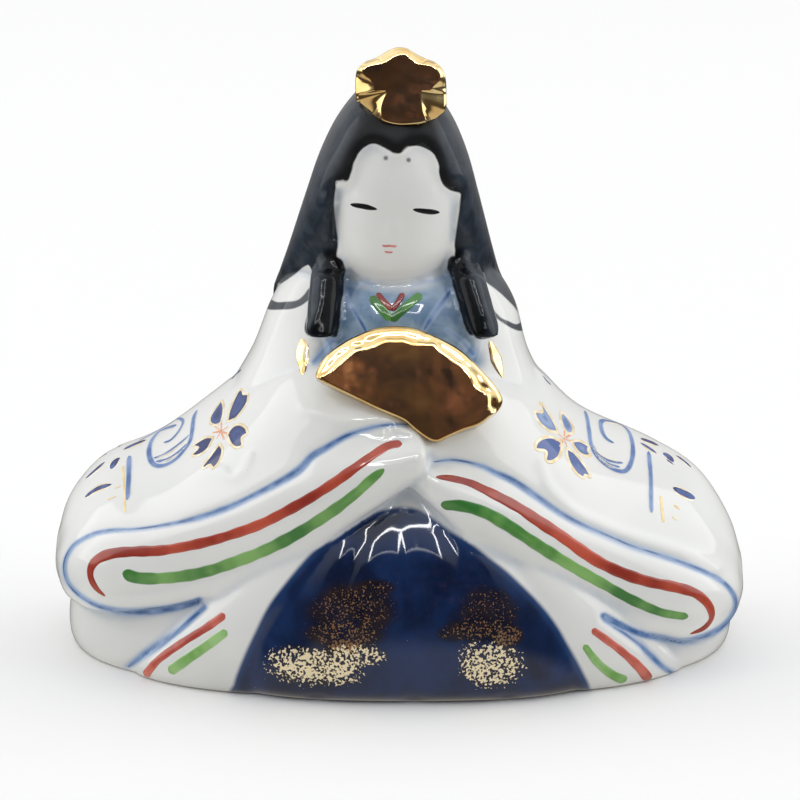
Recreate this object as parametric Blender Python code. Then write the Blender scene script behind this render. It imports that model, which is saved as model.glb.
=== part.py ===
"""Porcelain hina doll, an empress seated in wide sleeves, as the castings and sprigs it is luted from.

Metres, +Z up. The doll faces -Y. The origin is the middle of the foot, on the surface it stands on.
Right and left are the doll's own: its right sleeve lies at -X.
"""

import math

import bmesh
import bpy
import numpy as np
from mathutils import Matrix, Vector

MM = 0.001

# Body casting: a hollow bell, open at the foot, that ends in a neck stub inside the head
SHOULDER_HEIGHT = 50.0 * MM
ROBE_WIDTH = 88.4 * MM
ROBE_FRONT = 23.0 * MM
ROBE_BACK = 25.3 * MM
ROBE_WALL = 3.0 * MM
CAVITY_HEIGHT = 43.0 * MM

# Luting gap that two touching pieces keep
JOINT_GAP = 0.3 * MM

# Sprigs on the body
SLEEVE_OVERHANG = 1.2 * MM
CUFF_STAND = 1.0 * MM
CUFF_BULGE = 1.7 * MM
HAKAMA_STAND = 4.2 * MM
HAKAMA_WIDTH = 58.0 * MM
HAKAMA_SHIFT = 1.2 * MM
HAKAMA_HEIGHT = 26.5 * MM
HEM_STAND = 2.0 * MM
HEM_WIDTH = 24.0 * MM
HEM_DROP = 1.5 * MM
CHEST_STAND = 3.0 * MM
CHEST_WIDTH = 22.0 * MM
CHEST_HEIGHT = 15.5 * MM
CHEST_LAP = 2.2 * MM

# Head and hair
HEAD_WIDTH = 17.6 * MM
HEAD_HEIGHT = 24.0 * MM
HEAD_FRONT = 13.3 * MM
HEAD_BACK = 8.5 * MM
HEAD_TILT = math.radians(2.0)
HAIR_THICKNESS = 1.9 * MM
HAIR_SPREAD = 7.2 * MM
HAIR_SHIFT = 0.35 * MM
HAIR_FALL_WIDTH = 26.0 * MM
HAIR_LIFT = 2.5 * MM
FOREHEAD_HAIR = 3.5 * MM
TEMPLE_HAIR = 0.8 * MM
LOCK_WIDTH = 3.8 * MM
LOCK_DEPTH = 3.6 * MM
LOCK_LENGTH = 8.5 * MM
LOCK_DROP = 5.1 * MM
RIGHT_LOCK_STEP = 1.2 * MM
RIGHT_LOCK_SPLAY = 0.8 * MM
LEFT_LOCK_STEP = 0.2 * MM
LEFT_LOCK_SPLAY = 2.6 * MM

# Gilt pieces
CROWN_WIDTH = 11.6 * MM
CROWN_HEIGHT = 10.9 * MM
CROWN_THICKNESS = 4.6 * MM
CROWN_LEAN = math.radians(14.0)
FAN_WIDTH = 23.4 * MM
FAN_HEIGHT = 15.4 * MM
FAN_THICKNESS = 3.2 * MM
FAN_LEAN = math.radians(22.0)
FAN_SHIFT = 1.2 * MM
FAN_SCALLOP = 0.35 * MM

ROBE_POINT_COUNT = 36
HAIR_POINT_COUNT = 32
SPRIG_POINT_COUNT = 28
LOCK_POINT_COUNT = 16
LOCK_RING_COUNT = 9
CAVITY_RING_COUNT = 9
ROBE_SQUARENESS = 2.25
HAIR_SQUARENESS = 2.3
HAKAMA_SQUARENESS = 2.9
SPRIG_SQUARENESS = 2.2
LOCK_SQUARENESS = 2.6
OVERRUN = 2.0 * MM

FRONT_REACH = ROBE_FRONT + CUFF_STAND
SLEEVE_REACH = ROBE_WIDTH / 2 + SLEEVE_OVERHANG
HEM_HEIGHT = HAKAMA_HEIGHT - HEM_DROP
HEAD_BASE = SHOULDER_HEIGHT - JOINT_GAP
HEAD_TOP = HEAD_BASE + HEAD_HEIGHT
HAIR_SKIRT_WIDTH = HEAD_WIDTH + 2 * HAIR_SPREAD
FACE_OPENING_WIDTH = HEAD_WIDTH - 2 * TEMPLE_HAIR
FACE_OPENING_HEIGHT = HEAD_HEIGHT - FOREHEAD_HAIR

# Each ring of the robe, as shares of the shoulders' height and the robe's width and depth:
# height, middle, half width, front and back
ROBE_RING_SHARES = (
    (0.00, 0.000, 0.985, 0.97, 0.97),
    (0.03, 0.000, 1.00, 1.00, 1.00),
    (0.10, 0.000, 1.00, 1.00, 1.00),
    (0.20, -0.004, 0.965, 0.985, 0.98),
    (0.30, -0.008, 0.885, 0.96, 0.93),
    (0.40, -0.014, 0.78, 0.91, 0.86),
    (0.50, -0.020, 0.65, 0.84, 0.78),
    (0.60, -0.025, 0.54, 0.77, 0.70),
    (0.70, -0.034, 0.465, 0.69, 0.63),
    (0.80, -0.030, 0.404, 0.61, 0.56),
    (0.90, -0.022, 0.368, 0.50, 0.48),
    (0.96, -0.021, 0.335, 0.455, 0.44),
    (1.01, -0.023, 0.297, 0.41, 0.395),
    (1.05, -0.022, 0.255, 0.355, 0.335),
    (1.072, -0.021, 0.195, 0.27, 0.25),
    (1.08, -0.021, 0.11, 0.16, 0.15),
)

# Each station of a sleeve, from the tip under the fan to the outer end: along the arm, then
# the cuff's front, top and bottom, the ridge's place and height, and the back's place and height
RIGHT_SLEEVE_SHARES = (
    (0.070, -0.975, 0.650, 0.610, -0.83, 0.660, -0.70, 0.610),
    (0.035, -1.000, 0.670, 0.560, -0.80, 0.700, -0.50, 0.620),
    (-0.13, -0.990, 0.655, 0.450, -0.58, 0.800, -0.17, 0.720),
    (-0.31, -0.950, 0.590, 0.330, -0.21, 0.850, 0.32, 0.700),
    (-0.49, -0.875, 0.510, 0.250, -0.04, 0.710, 0.59, 0.480),
    (-0.69, -0.770, 0.424, 0.190, 0.04, 0.570, 0.70, 0.240),
    (-0.86, -0.625, 0.376, 0.160, 0.04, 0.500, 0.58, 0.160),
    (-0.96, -0.400, 0.330, 0.164, 0.00, 0.400, 0.35, 0.160),
    (-1.00, -0.180, 0.270, 0.200, -0.04, 0.290, 0.12, 0.200),
)
LEFT_SLEEVE_SHARES = (
    (0.035, -0.920, 0.590, 0.540, -0.79, 0.620, -0.58, 0.560),
    (0.090, -1.000, 0.610, 0.500, -0.71, 0.700, -0.33, 0.600),
    (0.220, -0.980, 0.570, 0.380, -0.38, 0.820, 0.08, 0.700),
    (0.355, -0.930, 0.510, 0.280, -0.13, 0.780, 0.40, 0.640),
    (0.510, -0.855, 0.440, 0.206, -0.04, 0.640, 0.61, 0.440),
    (0.710, -0.750, 0.352, 0.116, 0.04, 0.550, 0.71, 0.240),
    (0.865, -0.605, 0.296, 0.076, 0.04, 0.464, 0.59, 0.160),
    (0.960, -0.395, 0.246, 0.100, 0.00, 0.340, 0.35, 0.140),
    (1.000, -0.165, 0.196, 0.136, -0.04, 0.230, 0.12, 0.150),
)

# The corners up a rolled cuff: back from its face as a share of its bulge, and up its height
CUFF_ROLL_SHARES = (
    (1.20, 0.000),
    (0.00, 0.250),
    (-0.30, 0.500),
    (0.10, 0.750),
    (1.50, 1.025),
)
CUFF_BULGE_LIMIT_SHARE = 0.25

# The corners between the cuff's top and the ridge, and between the ridge and the back: how far
# back and how far up or down the way to the next one, and then how far back the underside reaches
SLEEVE_RISE_SHARES = (0.45, 0.55)
SLEEVE_FALL_SHARES = (0.60, 0.32)
SLEEVE_UNDERSIDE_SHARE = 0.65

# How much the hollow has drawn in where it closes
CAVITY_CLOSING_SHARE = 0.9

# Each ring of the blue skirt: height, half width and how far it stands proud
HAKAMA_RING_SHARES = (
    (0.00, 1.00, 0.55),
    (0.06, 0.98, 0.80),
    (0.25, 0.89, 1.00),
    (0.45, 0.77, 0.98),
    (0.65, 0.61, 0.86),
    (0.82, 0.43, 0.60),
    (0.93, 0.26, 0.28),
    (1.00, 0.09, -0.10),
)

# How far back the skirt and collar blanks reach, before they are trimmed to the robe
HAKAMA_DEPTH_SHARE = 1.6
CHEST_DEPTH_SHARE = 0.2

# Each ring of a lower hem: height, how far its middle lies inside the skirt's edge, half width,
# and how far it stands proud
HEM_RING_SHARES = (
    (0.00, 0.16, 0.43, 0.80),
    (0.05, 0.16, 0.43, 1.00),
    (0.25, 0.18, 0.39, 1.25),
    (0.50, 0.22, 0.33, 1.40),
    (0.75, 0.18, 0.25, 1.20),
    (0.92, 0.10, 0.15, 0.60),
    (1.00, 0.01, 0.06, 0.00),
)

# Each ring of the inner collar: height, half width and how far it stands proud
CHEST_RING_SHARES = (
    (0.00, 0.80, 0.20),
    (0.25, 0.96, 0.75),
    (0.50, 1.00, 1.00),
    (0.75, 0.90, 0.95),
    (0.92, 0.70, 0.60),
    (1.00, 0.50, 0.10),
)

# Each ring of the head: height, half width, front and back
HEAD_RING_SHARES = (
    (0.00, 0.50, 0.62, 0.45),
    (0.05, 0.66, 0.82, 0.56),
    (0.13, 0.84, 0.93, 0.70),
    (0.25, 0.955, 0.99, 0.83),
    (0.41, 1.00, 1.00, 0.94),
    (0.57, 1.00, 0.98, 1.00),
    (0.73, 0.88, 0.89, 0.94),
    (0.85, 0.67, 0.71, 0.80),
    (0.95, 0.40, 0.45, 0.48),
    (1.00, 0.15, 0.20, 0.20),
)

# Each ring of the hair over the head: height over the head's own, half width as a share of the
# skirt of hair at the shoulders, and front and back as shares of the head's
HOOD_RING_SHARES = (
    (1.085, 0.09, 0.12, 0.20),
    (1.055, 0.20, 0.36, 0.50),
    (0.96, 0.345, 0.70, 0.88),
    (0.83, 0.48, 0.92, 1.14),
    (0.66, 0.593, 1.03, 1.28),
    (0.50, 0.668, 1.03, 1.37),
    (0.33, 0.743, 0.95, 1.43),
    (0.14, 0.825, 0.74, 1.48),
    (-0.02, 0.90, 0.44, 1.52),
)

# Each ring of the hair down the back: height on the robe, half width, and depth into the robe
FALL_RING_SHARES = (
    (0.930, 1.18, 1.05),
    (0.880, 1.19, 0.90),
    (0.830, 1.15, 0.70),
    (0.780, 1.08, 0.50),
    (0.700, 1.00, 0.40),
    (0.600, 0.88, 0.36),
    (0.440, 0.77, 0.30),
    (0.240, 0.66, 0.26),
    (0.110, 0.54, 0.22),
)

# The tip of the hair down the back: half width, and how far it stands out of the robe
FALL_TIP_SHARES = (0.36, 0.60)

# A side lock: its top's place forward on the head, how far forward it leans by its depth, how
# much its two ends narrow, and how much thicker it is below
LOCK_FRONT_SHARE = 0.805
LOCK_LEAN_SHARE = 1.37
LOCK_TAPER_SHARE = 0.12
LOCK_SWELL_SHARE = 0.5

# The opening of the hair round the face and over the shoulders, from its middle at the top, one
# half only: outward and upward
FACE_OPENING_SHARES = (
    (0.00, 0.880),
    (0.13, 0.915),
    (0.33, 0.955),
    (0.52, 0.940),
    (0.66, 0.860),
    (0.72, 0.765),
    (0.82, 0.705),
    (1.00, 0.680),
    (1.03, 0.450),
    (1.00, 0.240),
    (1.35, 0.170),
    (1.61, 0.075),
    (1.90, -0.020),
    (2.05, -0.100),
    (2.30, -0.240),
)
FACE_OPENING_REACH_SHARE = 2.0

# Half of the crown's outline, from the top: outward and upward
CROWN_OUTLINE_SHARES = (
    (0.00, 1.000),
    (0.26, 0.965),
    (0.44, 0.905),
    (0.72, 0.865),
    (0.92, 0.790),
    (1.00, 0.660),
    (0.99, 0.500),
    (0.97, 0.340),
    (0.80, 0.170),
    (0.54, 0.055),
    (0.24, 0.005),
)

# Where the gilt plates stand: the crown forward on the head and sunk by its height, and the fan
# forward on the robe and up to the shoulders
CROWN_PLACE_SHARES = (0.90, 0.36)
FAN_PLACE_SHARES = (0.95, 0.655)

# The fan's outline from its left corner over the scalloped top to the right corner, then its foot
FAN_TOP_SHARES = (
    (0.00, 0.600),
    (0.05, 0.740),
    (0.15, 0.870),
    (0.30, 0.965),
    (0.46, 1.000),
    (0.62, 0.950),
    (0.78, 0.810),
    (0.90, 0.630),
    (0.97, 0.470),
    (1.00, 0.330),
)
FAN_FOOT_SHARES = (
    (0.98, 0.250),
    (0.80, 0.110),
    (0.68, 0.050),
    (0.60, 0.040),
    (0.48, 0.140),
    (0.30, 0.300),
    (0.12, 0.470),
)
FAN_SCALLOP_COUNT = 8

# How the edge of a gilt plate rounds: depth into the plate, then the outline's size
PLATE_EDGE_SHARES = (
    (0.00, 0.80),
    (0.10, 0.90),
    (0.30, 0.98),
    (0.60, 1.00),
    (1.00, 1.00),
)


def clear_scene():
    for obj in list(bpy.data.objects):
        bpy.data.objects.remove(obj)


def finish_material(name, colour, roughness, metallic=0.0):
    material = bpy.data.materials.new(name)
    material.use_nodes = True
    shader = material.node_tree.nodes["Principled BSDF"]
    shader.inputs["Base Color"].default_value = (*colour, 1.0)
    shader.inputs["Roughness"].default_value = roughness
    shader.inputs["Metallic"].default_value = metallic
    material.diffuse_color = (*colour, 1.0)
    return material


def smooth_rows(rows, steps, closed=False):
    """Rows of numbers with steps rows to each span, on a Catmull-Rom curve through the given ones."""
    given = np.array(rows, float)
    count = len(given)
    spans = count if closed else count - 1
    if closed:
        before, after = given[-1:], given[:2]
    else:
        before, after = 2 * given[:1] - given[1:2], 2 * given[-1:] - given[-2:-1]
    line = np.concatenate([before, given, after])
    found = []
    for span in range(spans):
        a, b, c, d = line[span : span + 4]
        for step in range(steps):
            t = step / steps
            found.append(
                b
                + (c - a) * t / 2
                + (2 * a - 5 * b + 4 * c - d) * t**2 / 2
                + (3 * b - a - 3 * c + d) * t**3 / 2
            )
    if not closed:
        found.append(given[-1])
    return np.array(found)


def level_ring(height, middle, half_width, front, back, squareness, points):
    """A level closed loop: front and back are Y values, and squareness 2 is an ellipse."""
    centre, half_depth = (front + back) / 2, (back - front) / 2
    ring = []
    for step in range(points):
        turn = 2 * math.pi * step / points
        across, along = math.cos(turn), math.sin(turn)
        x = math.copysign(abs(across) ** (2 / squareness), across)
        y = math.copysign(abs(along) ** (2 / squareness), along)
        ring.append((middle + half_width * x, centre + half_depth * y, height))
    return ring


def skinned(name, rings):
    """One closed mesh over a stack of loops with equal numbers of points."""
    mesh = bpy.data.meshes.new(name)
    bm = bmesh.new()
    loops = [[bm.verts.new(Vector(point)) for point in ring] for ring in rings]
    count = len(loops[0])
    for lower, upper in zip(loops, loops[1:]):
        for i in range(count):
            j = (i + 1) % count
            bm.faces.new((lower[i], lower[j], upper[j], upper[i]))
    bm.faces.new(loops[0])
    bm.faces.new(loops[-1])
    bmesh.ops.recalc_face_normals(bm, faces=bm.faces)
    bm.to_mesh(mesh)
    bm.free()
    obj = bpy.data.objects.new(name, mesh)
    bpy.context.scene.collection.objects.link(obj)
    return obj


def hide_helper(obj):
    obj.hide_render = True
    obj.display_type = "WIRE"


def grown(blank, distance, name):
    """A hidden copy of a blank with its surface moved out by distance, or in if it is negative."""
    cutter = bpy.data.objects.new(name, blank.data.copy())
    bpy.context.scene.collection.objects.link(cutter)
    swell = cutter.modifiers.new("Swell", "DISPLACE")
    swell.strength = distance
    swell.mid_level = 0.0
    hide_helper(cutter)
    return cutter


def trimmed(blank, name, cutters, material):
    """The blank less its cutters, as a new object with only its main body kept."""
    piece = bpy.data.objects.new(name, blank.data.copy())
    bpy.context.scene.collection.objects.link(piece)
    for cutter in cutters:
        cut = piece.modifiers.new(f"Cut by {cutter.name}", "BOOLEAN")
        cut.operation = "DIFFERENCE"
        cut.object = cutter
    bpy.context.view_layer.update()
    graph = bpy.context.evaluated_depsgraph_get()
    mesh = bpy.data.meshes.new_from_object(piece.evaluated_get(graph))
    piece.modifiers.clear()
    piece.data = mesh
    mesh.name = name
    keep_main_body(mesh)
    mesh.materials.clear()
    mesh.materials.append(material)
    mesh.shade_smooth()
    mesh.set_sharp_from_angle(angle=math.radians(40.0))
    return piece


def keep_main_body(mesh):
    """Drops the offcuts that a trim leaves loose, keeping the body with the most faces."""
    bm = bmesh.new()
    bm.from_mesh(mesh)
    bodies, seen = [], set()
    for start in bm.verts:
        if start in seen:
            continue
        body, waiting = [], [start]
        seen.add(start)
        while waiting:
            vertex = waiting.pop()
            body.append(vertex)
            for edge in vertex.link_edges:
                other = edge.other_vert(vertex)
                if other not in seen:
                    seen.add(other)
                    waiting.append(other)
        bodies.append(body)
    bodies.sort(key=len)
    for body in bodies[:-1]:
        bmesh.ops.delete(bm, geom=body, context="VERTS")
    bm.to_mesh(mesh)
    bm.free()


def robe_rings(steps):
    """The robe's rings as height, middle, half width, front and back."""
    rows = smooth_rows(ROBE_RING_SHARES, steps)
    return [
        (
            height * SHOULDER_HEIGHT,
            middle * ROBE_WIDTH / 2,
            half * ROBE_WIDTH / 2,
            -front * ROBE_FRONT,
            back * ROBE_BACK,
        )
        for height, middle, half, front, back in rows
    ]


def robe_at(height):
    """Middle, half width, front and back of the robe's outside at a height."""
    rings = np.array(robe_rings(4))
    return [float(np.interp(height, rings[:, 0], rings[:, k])) for k in (1, 2, 3, 4)]


def robe_face(x, height):
    """Y of the robe's front surface at x and height."""
    middle, half, front, back = robe_at(height)
    centre, depth = (front + back) / 2, (back - front) / 2
    aside = min(1.0, abs((x - middle) / half)) ** ROBE_SQUARENESS
    return centre - depth * (1 - aside) ** (1 / ROBE_SQUARENESS)


def make_robe_blank():
    rings = [level_ring(*ring, ROBE_SQUARENESS, ROBE_POINT_COUNT) for ring in robe_rings(2)]
    return skinned("robe_blank", rings)


def make_cavity():
    """The hollow that the slip leaves when it is poured out through the foot."""
    rings = []
    for share in np.linspace(0, 1, CAVITY_RING_COUNT):
        height = share * CAVITY_HEIGHT
        middle, half, front, back = robe_at(height)
        closing = math.sqrt(1 - share**4 * CAVITY_CLOSING_SHARE)
        inner = (half - ROBE_WALL) * closing
        near, far = (front + ROBE_WALL) * closing, (back - ROBE_WALL) * closing
        rings.append(level_ring(height, middle, inner, near, far, ROBE_SQUARENESS, ROBE_POINT_COUNT))
    first = [(x, y, -OVERRUN) for x, y, z in rings[0]]
    cavity = skinned("robe_cavity", [first, *rings])
    hide_helper(cavity)
    return cavity


def between(start, end, share):
    return start + (end - start) * share


def body_place(x_share, y_share, z_share):
    reach = FRONT_REACH if y_share < 0 else ROBE_BACK
    return x_share * SLEEVE_REACH, y_share * reach, z_share * SHOULDER_HEIGHT


def sleeve_outline(station):
    """A station's closed outline, from the cuff's lower edge up over the ridge and down the back."""
    along, cuff, top, bottom, ridge, ridge_top, back, back_top = station
    x, cuff_y, top_z = body_place(along, cuff, top)
    bottom_z = bottom * SHOULDER_HEIGHT
    _, ridge_y, ridge_z = body_place(along, ridge, ridge_top)
    _, back_y, back_z = body_place(along, back, back_top)
    bulge = min(CUFF_BULGE, (top_z - bottom_z) * CUFF_BULGE_LIMIT_SHARE)
    rise_y, rise_z = SLEEVE_RISE_SHARES
    fall_y, fall_z = SLEEVE_FALL_SHARES
    corners = [(cuff_y + deep * bulge, between(bottom_z, top_z, up)) for deep, up in CUFF_ROLL_SHARES]
    corners += [
        (between(cuff_y, ridge_y, rise_y), between(top_z, ridge_z, rise_z)),
        (ridge_y, ridge_z),
        (between(ridge_y, back_y, fall_y), between(ridge_z, back_z, fall_z)),
        (back_y, back_z),
        (between(cuff_y, back_y, SLEEVE_UNDERSIDE_SHARE), bottom_z),
    ]
    return [(x, y, z) for y, z in smooth_rows(corners, 3, closed=True)]


def make_sleeve_blank(name, stations):
    rows = smooth_rows(stations, 3)
    return skinned(name, [sleeve_outline(row) for row in rows])


def hakama_half(height):
    """Half width of the skirt at a height."""
    rows = np.array(smooth_rows(HAKAMA_RING_SHARES, 4))
    return float(np.interp(height / HAKAMA_HEIGHT, rows[:, 0], rows[:, 1])) * HAKAMA_WIDTH / 2


def make_hakama_blank():
    rings = []
    for up, wide, proud in smooth_rows(HAKAMA_RING_SHARES, 2):
        height = up * HAKAMA_HEIGHT
        face = robe_at(height)[2] - proud * HAKAMA_STAND
        half = wide * HAKAMA_WIDTH / 2
        back = face + half * HAKAMA_DEPTH_SHARE
        shape = (HAKAMA_SQUARENESS, SPRIG_POINT_COUNT)
        rings.append(level_ring(height, HAKAMA_SHIFT, half, face, back, *shape))
    return skinned("hakama_blank", rings)


def make_hem_blank(name, side):
    rings = []
    for up, inset, wide, proud in smooth_rows(HEM_RING_SHARES, 2):
        height = up * HEM_HEIGHT
        centre = HAKAMA_SHIFT + side * (hakama_half(height) - inset * HEM_WIDTH)
        half = wide * HEM_WIDTH
        swell = proud * HEM_STAND
        ring = []
        for x, y, z in level_ring(height, 0, half, -1.0, 1.0, SPRIG_SQUARENESS, SPRIG_POINT_COUNT):
            depth = robe_face(centre + x, height) + y * (swell if y < 0 else half)
            ring.append((centre + x, depth, z))
        rings.append(ring)
    return skinned(name, rings)


def make_chest_blank():
    rings = []
    base = HEAD_BASE + CHEST_LAP - CHEST_HEIGHT
    for up, wide, proud in smooth_rows(CHEST_RING_SHARES, 2):
        height = base + up * CHEST_HEIGHT
        half = wide * CHEST_WIDTH / 2
        _, _, front, back = robe_at(height)
        face = front - proud * CHEST_STAND
        shape = (SPRIG_SQUARENESS, SPRIG_POINT_COUNT)
        rings.append(level_ring(height, 0, half, face, back * CHEST_DEPTH_SHARE, *shape))
    return skinned("chest_blank", rings)


def head_middle(height):
    """X of the head's tilted axis, which runs straight down again below the shoulders."""
    return -(HEAD_TOP + CROWN_HEIGHT / 2 - max(height, HEAD_BASE)) * math.tan(HEAD_TILT)


def make_head_blank():
    rings = []
    for up, wide, front, back in smooth_rows(HEAD_RING_SHARES, 2):
        rings.append(
            level_ring(
                HEAD_BASE + up * HEAD_HEIGHT,
                head_middle(HEAD_BASE + up * HEAD_HEIGHT),
                wide * HEAD_WIDTH / 2,
                -front * HEAD_FRONT,
                back * HEAD_BACK,
                SPRIG_SQUARENESS,
                SPRIG_POINT_COUNT,
            )
        )
    return skinned("head_blank", rings)


def make_hair_blank():
    rows = []
    for up, wide, front, back in HOOD_RING_SHARES:
        rows.append(
            (
                HEAD_BASE + up * HEAD_HEIGHT,
                wide * HAIR_SKIRT_WIDTH / 2,
                -front * HEAD_FRONT,
                back * HEAD_BACK,
            )
        )
    for up, wide, depth in FALL_RING_SHARES:
        height = up * SHOULDER_HEIGHT
        back = robe_at(height)[3]
        reach = back + HAIR_THICKNESS
        half = wide * HAIR_FALL_WIDTH / 2
        rows.append((height, half, reach - depth * back, reach))
    last = robe_at(HAIR_LIFT)[3]
    wide, proud = FALL_TIP_SHARES
    half = wide * HAIR_FALL_WIDTH / 2
    rows.append((HAIR_LIFT, half, last - HAIR_THICKNESS, last + proud * HAIR_THICKNESS))
    shape = (HAIR_SQUARENESS, HAIR_POINT_COUNT)
    rings = [
        level_ring(height, head_middle(height) - HAIR_SHIFT, half, front, back, *shape)
        for height, half, front, back in smooth_rows(rows, 2)
    ]
    return skinned("hair_blank", rings)


def make_face_opening():
    """A prism through the front of the hair, whose outline is the hairline."""
    right = smooth_rows(FACE_OPENING_SHARES, 2)
    half = FACE_OPENING_WIDTH / 2
    left = [(-x, z) for x, z in right[:0:-1]]
    base = HEAD_BASE - OVERRUN
    outline = []
    for x, z in [*right, *left]:
        height = base + z * (FACE_OPENING_HEIGHT + OVERRUN)
        outline.append((x * half + head_middle(height), height))
    front, back = -HEAD_FRONT * FACE_OPENING_REACH_SHARE, 0
    opening = skinned(
        "face_opening", [[(x, y, z) for x, z in outline] for y in (front, back)]
    )
    hide_helper(opening)
    return opening


def make_lock_blank(name, side, step_out, splay):
    """A side lock: it leaves the hood by the cheek and ends square over the collar."""
    end = HEAD_BASE - LOCK_DROP
    rings = []
    for down in np.linspace(0, 1, LOCK_RING_COUNT):
        height = end + (1 - down) * LOCK_LENGTH
        out = FACE_OPENING_WIDTH / 2 + step_out + down * splay
        front = -LOCK_FRONT_SHARE * HEAD_FRONT - down * LOCK_LEAN_SHARE * LOCK_DEPTH
        taper = 1 - LOCK_TAPER_SHARE * abs(2 * down - 1) ** 6
        back = front + LOCK_DEPTH * taper * (1 + down * LOCK_SWELL_SHARE)
        half = LOCK_WIDTH / 2 * taper
        shape = (LOCK_SQUARENESS, LOCK_POINT_COUNT)
        rings.append(level_ring(height, side * out, half, front, back, *shape))
    return skinned(name, rings)


def plate(name, outline, thickness, lean, foot):
    """A gilt plate with a rounded front edge, leaning back about its foot."""
    rings = []
    middle = Vector((0, sum(z for x, z in outline) / len(outline)))
    turn = Matrix.Rotation(-lean, 4, "X")
    for deep, size in PLATE_EDGE_SHARES:
        ring = []
        for x, z in outline:
            flat = middle + (Vector((x, z)) - middle) * size
            ring.append(turn @ Vector((flat.x, deep * thickness, flat.y)) + foot)
        rings.append(ring)
    return skinned(name, rings)


def make_crown_blank():
    right = smooth_rows(CROWN_OUTLINE_SHARES, 2)
    left = [(-x, z) for x, z in right[:0:-1]]
    half = CROWN_WIDTH / 2
    outline = [(x * half, z * CROWN_HEIGHT) for x, z in [*right, *left]]
    forward, sunk = CROWN_PLACE_SHARES
    foot = Vector((0, -forward * HEAD_FRONT, HEAD_TOP - sunk * CROWN_HEIGHT))
    return plate("crown_blank", outline, CROWN_THICKNESS, CROWN_LEAN, foot)


def make_fan_blank():
    top = smooth_rows(FAN_TOP_SHARES, 4)
    count = len(top)
    outline = []
    for i, (x, z) in enumerate(top):
        wave = abs(math.sin(math.pi * FAN_SCALLOP_COUNT * i / (count - 1)))
        lift = (wave - 0.5) * FAN_SCALLOP
        outline.append(((x - 0.5) * FAN_WIDTH * (1 + lift / FAN_WIDTH), z * FAN_HEIGHT + lift))
    outline += [((x - 0.5) * FAN_WIDTH, z * FAN_HEIGHT) for x, z in FAN_FOOT_SHARES]
    forward, up = FAN_PLACE_SHARES
    foot = Vector((FAN_SHIFT, -forward * FRONT_REACH, up * SHOULDER_HEIGHT))
    return plate("fan_blank", outline, FAN_THICKNESS, FAN_LEAN, foot)


def build():
    clear_scene()
    white = finish_material("white_porcelain", (0.80, 0.81, 0.82), 0.12)
    skin = finish_material("face_porcelain", (0.82, 0.82, 0.82), 0.15)
    pale_blue = finish_material("pale_blue_wash", (0.33, 0.43, 0.60), 0.12)
    blue = finish_material("cobalt_blue", (0.01, 0.04, 0.17), 0.10)
    black = finish_material("black_enamel", (0.015, 0.017, 0.022), 0.12)
    gold = finish_material("gold_lustre", (0.83, 0.60, 0.22), 0.10, 1.0)

    robe = make_robe_blank()
    head = make_head_blank()
    chest = make_chest_blank()
    hair = make_hair_blank()
    hakama = make_hakama_blank()
    blanks = {
        "robe": robe,
        "head": head,
        "chest": chest,
        "hair": hair,
        "hakama": hakama,
        "right_hem": make_hem_blank("right_hem_blank", -1),
        "left_hem": make_hem_blank("left_hem_blank", 1),
        "right_lock": make_lock_blank("right_lock_blank", -1, RIGHT_LOCK_STEP, RIGHT_LOCK_SPLAY),
        "left_lock": make_lock_blank("left_lock_blank", 1, LEFT_LOCK_STEP, LEFT_LOCK_SPLAY),
        "right_sleeve": make_sleeve_blank("right_sleeve_blank", RIGHT_SLEEVE_SHARES),
        "left_sleeve": make_sleeve_blank("left_sleeve_blank", LEFT_SLEEVE_SHARES),
        "crown": make_crown_blank(),
        "fan": make_fan_blank(),
    }
    for blank in blanks.values():
        hide_helper(blank)
    near = {key: grown(blank, JOINT_GAP, f"{key}_clearance") for key, blank in blanks.items()}

    def luted(name, key, cutter_keys, material, openings=()):
        return trimmed(blanks[key], name, [*openings, *(near[k] for k in cutter_keys)], material)

    luted("robe_shell", "robe", (), white, [make_cavity()])
    luted("head", "head", ("robe",), skin)
    luted("inner_collar", "chest", ("head", "robe"), pale_blue)
    luted("hair", "hair", ("robe", "head", "chest"), black, [make_face_opening()])
    luted("right_side_lock", "right_lock", ("robe", "head", "chest", "hair"), black)
    luted("left_side_lock", "left_lock", ("robe", "head", "chest", "hair"), black)
    luted("hakama_front", "hakama", ("robe",), blue)
    luted("right_hem", "right_hem", ("robe", "hakama"), white)
    luted("left_hem", "left_hem", ("robe", "hakama"), white)
    right_cutters = ("hair", "chest", "right_lock", "hakama", "right_hem", "robe")
    luted("right_sleeve", "right_sleeve", right_cutters, white)
    left_cutters = ("hair", "chest", "left_lock", "hakama", "left_hem", "right_sleeve", "robe")
    luted("left_sleeve", "left_sleeve", left_cutters, white)
    fan_cutters = ("robe", "chest", "right_lock", "left_lock", "right_sleeve", "left_sleeve")
    luted("fan", "fan", fan_cutters, gold)
    luted("crown", "crown", ("hair", "head"), gold)


build()
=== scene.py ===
# %% [markdown]
# # A porcelain hina doll, glazed, painted and gilded
#
# The real doll is cast in a few pieces that are stuck together with slip. The whole figure is then
# dipped in one glaze, so the joints close and every crease goes soft. Blue is painted under the
# glaze. Red, green and black enamels and the gold are fired on top of it.
#
# The scene follows that order. It fuses the separate solids into one skin, paints regions on the
# skin, lays brush strokes on it, and adds the crown and the fan as gilded pieces.

# %% The frame
import math

import bpy
import numpy as np
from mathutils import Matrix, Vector
from mathutils.bvhtree import BVHTree


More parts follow.
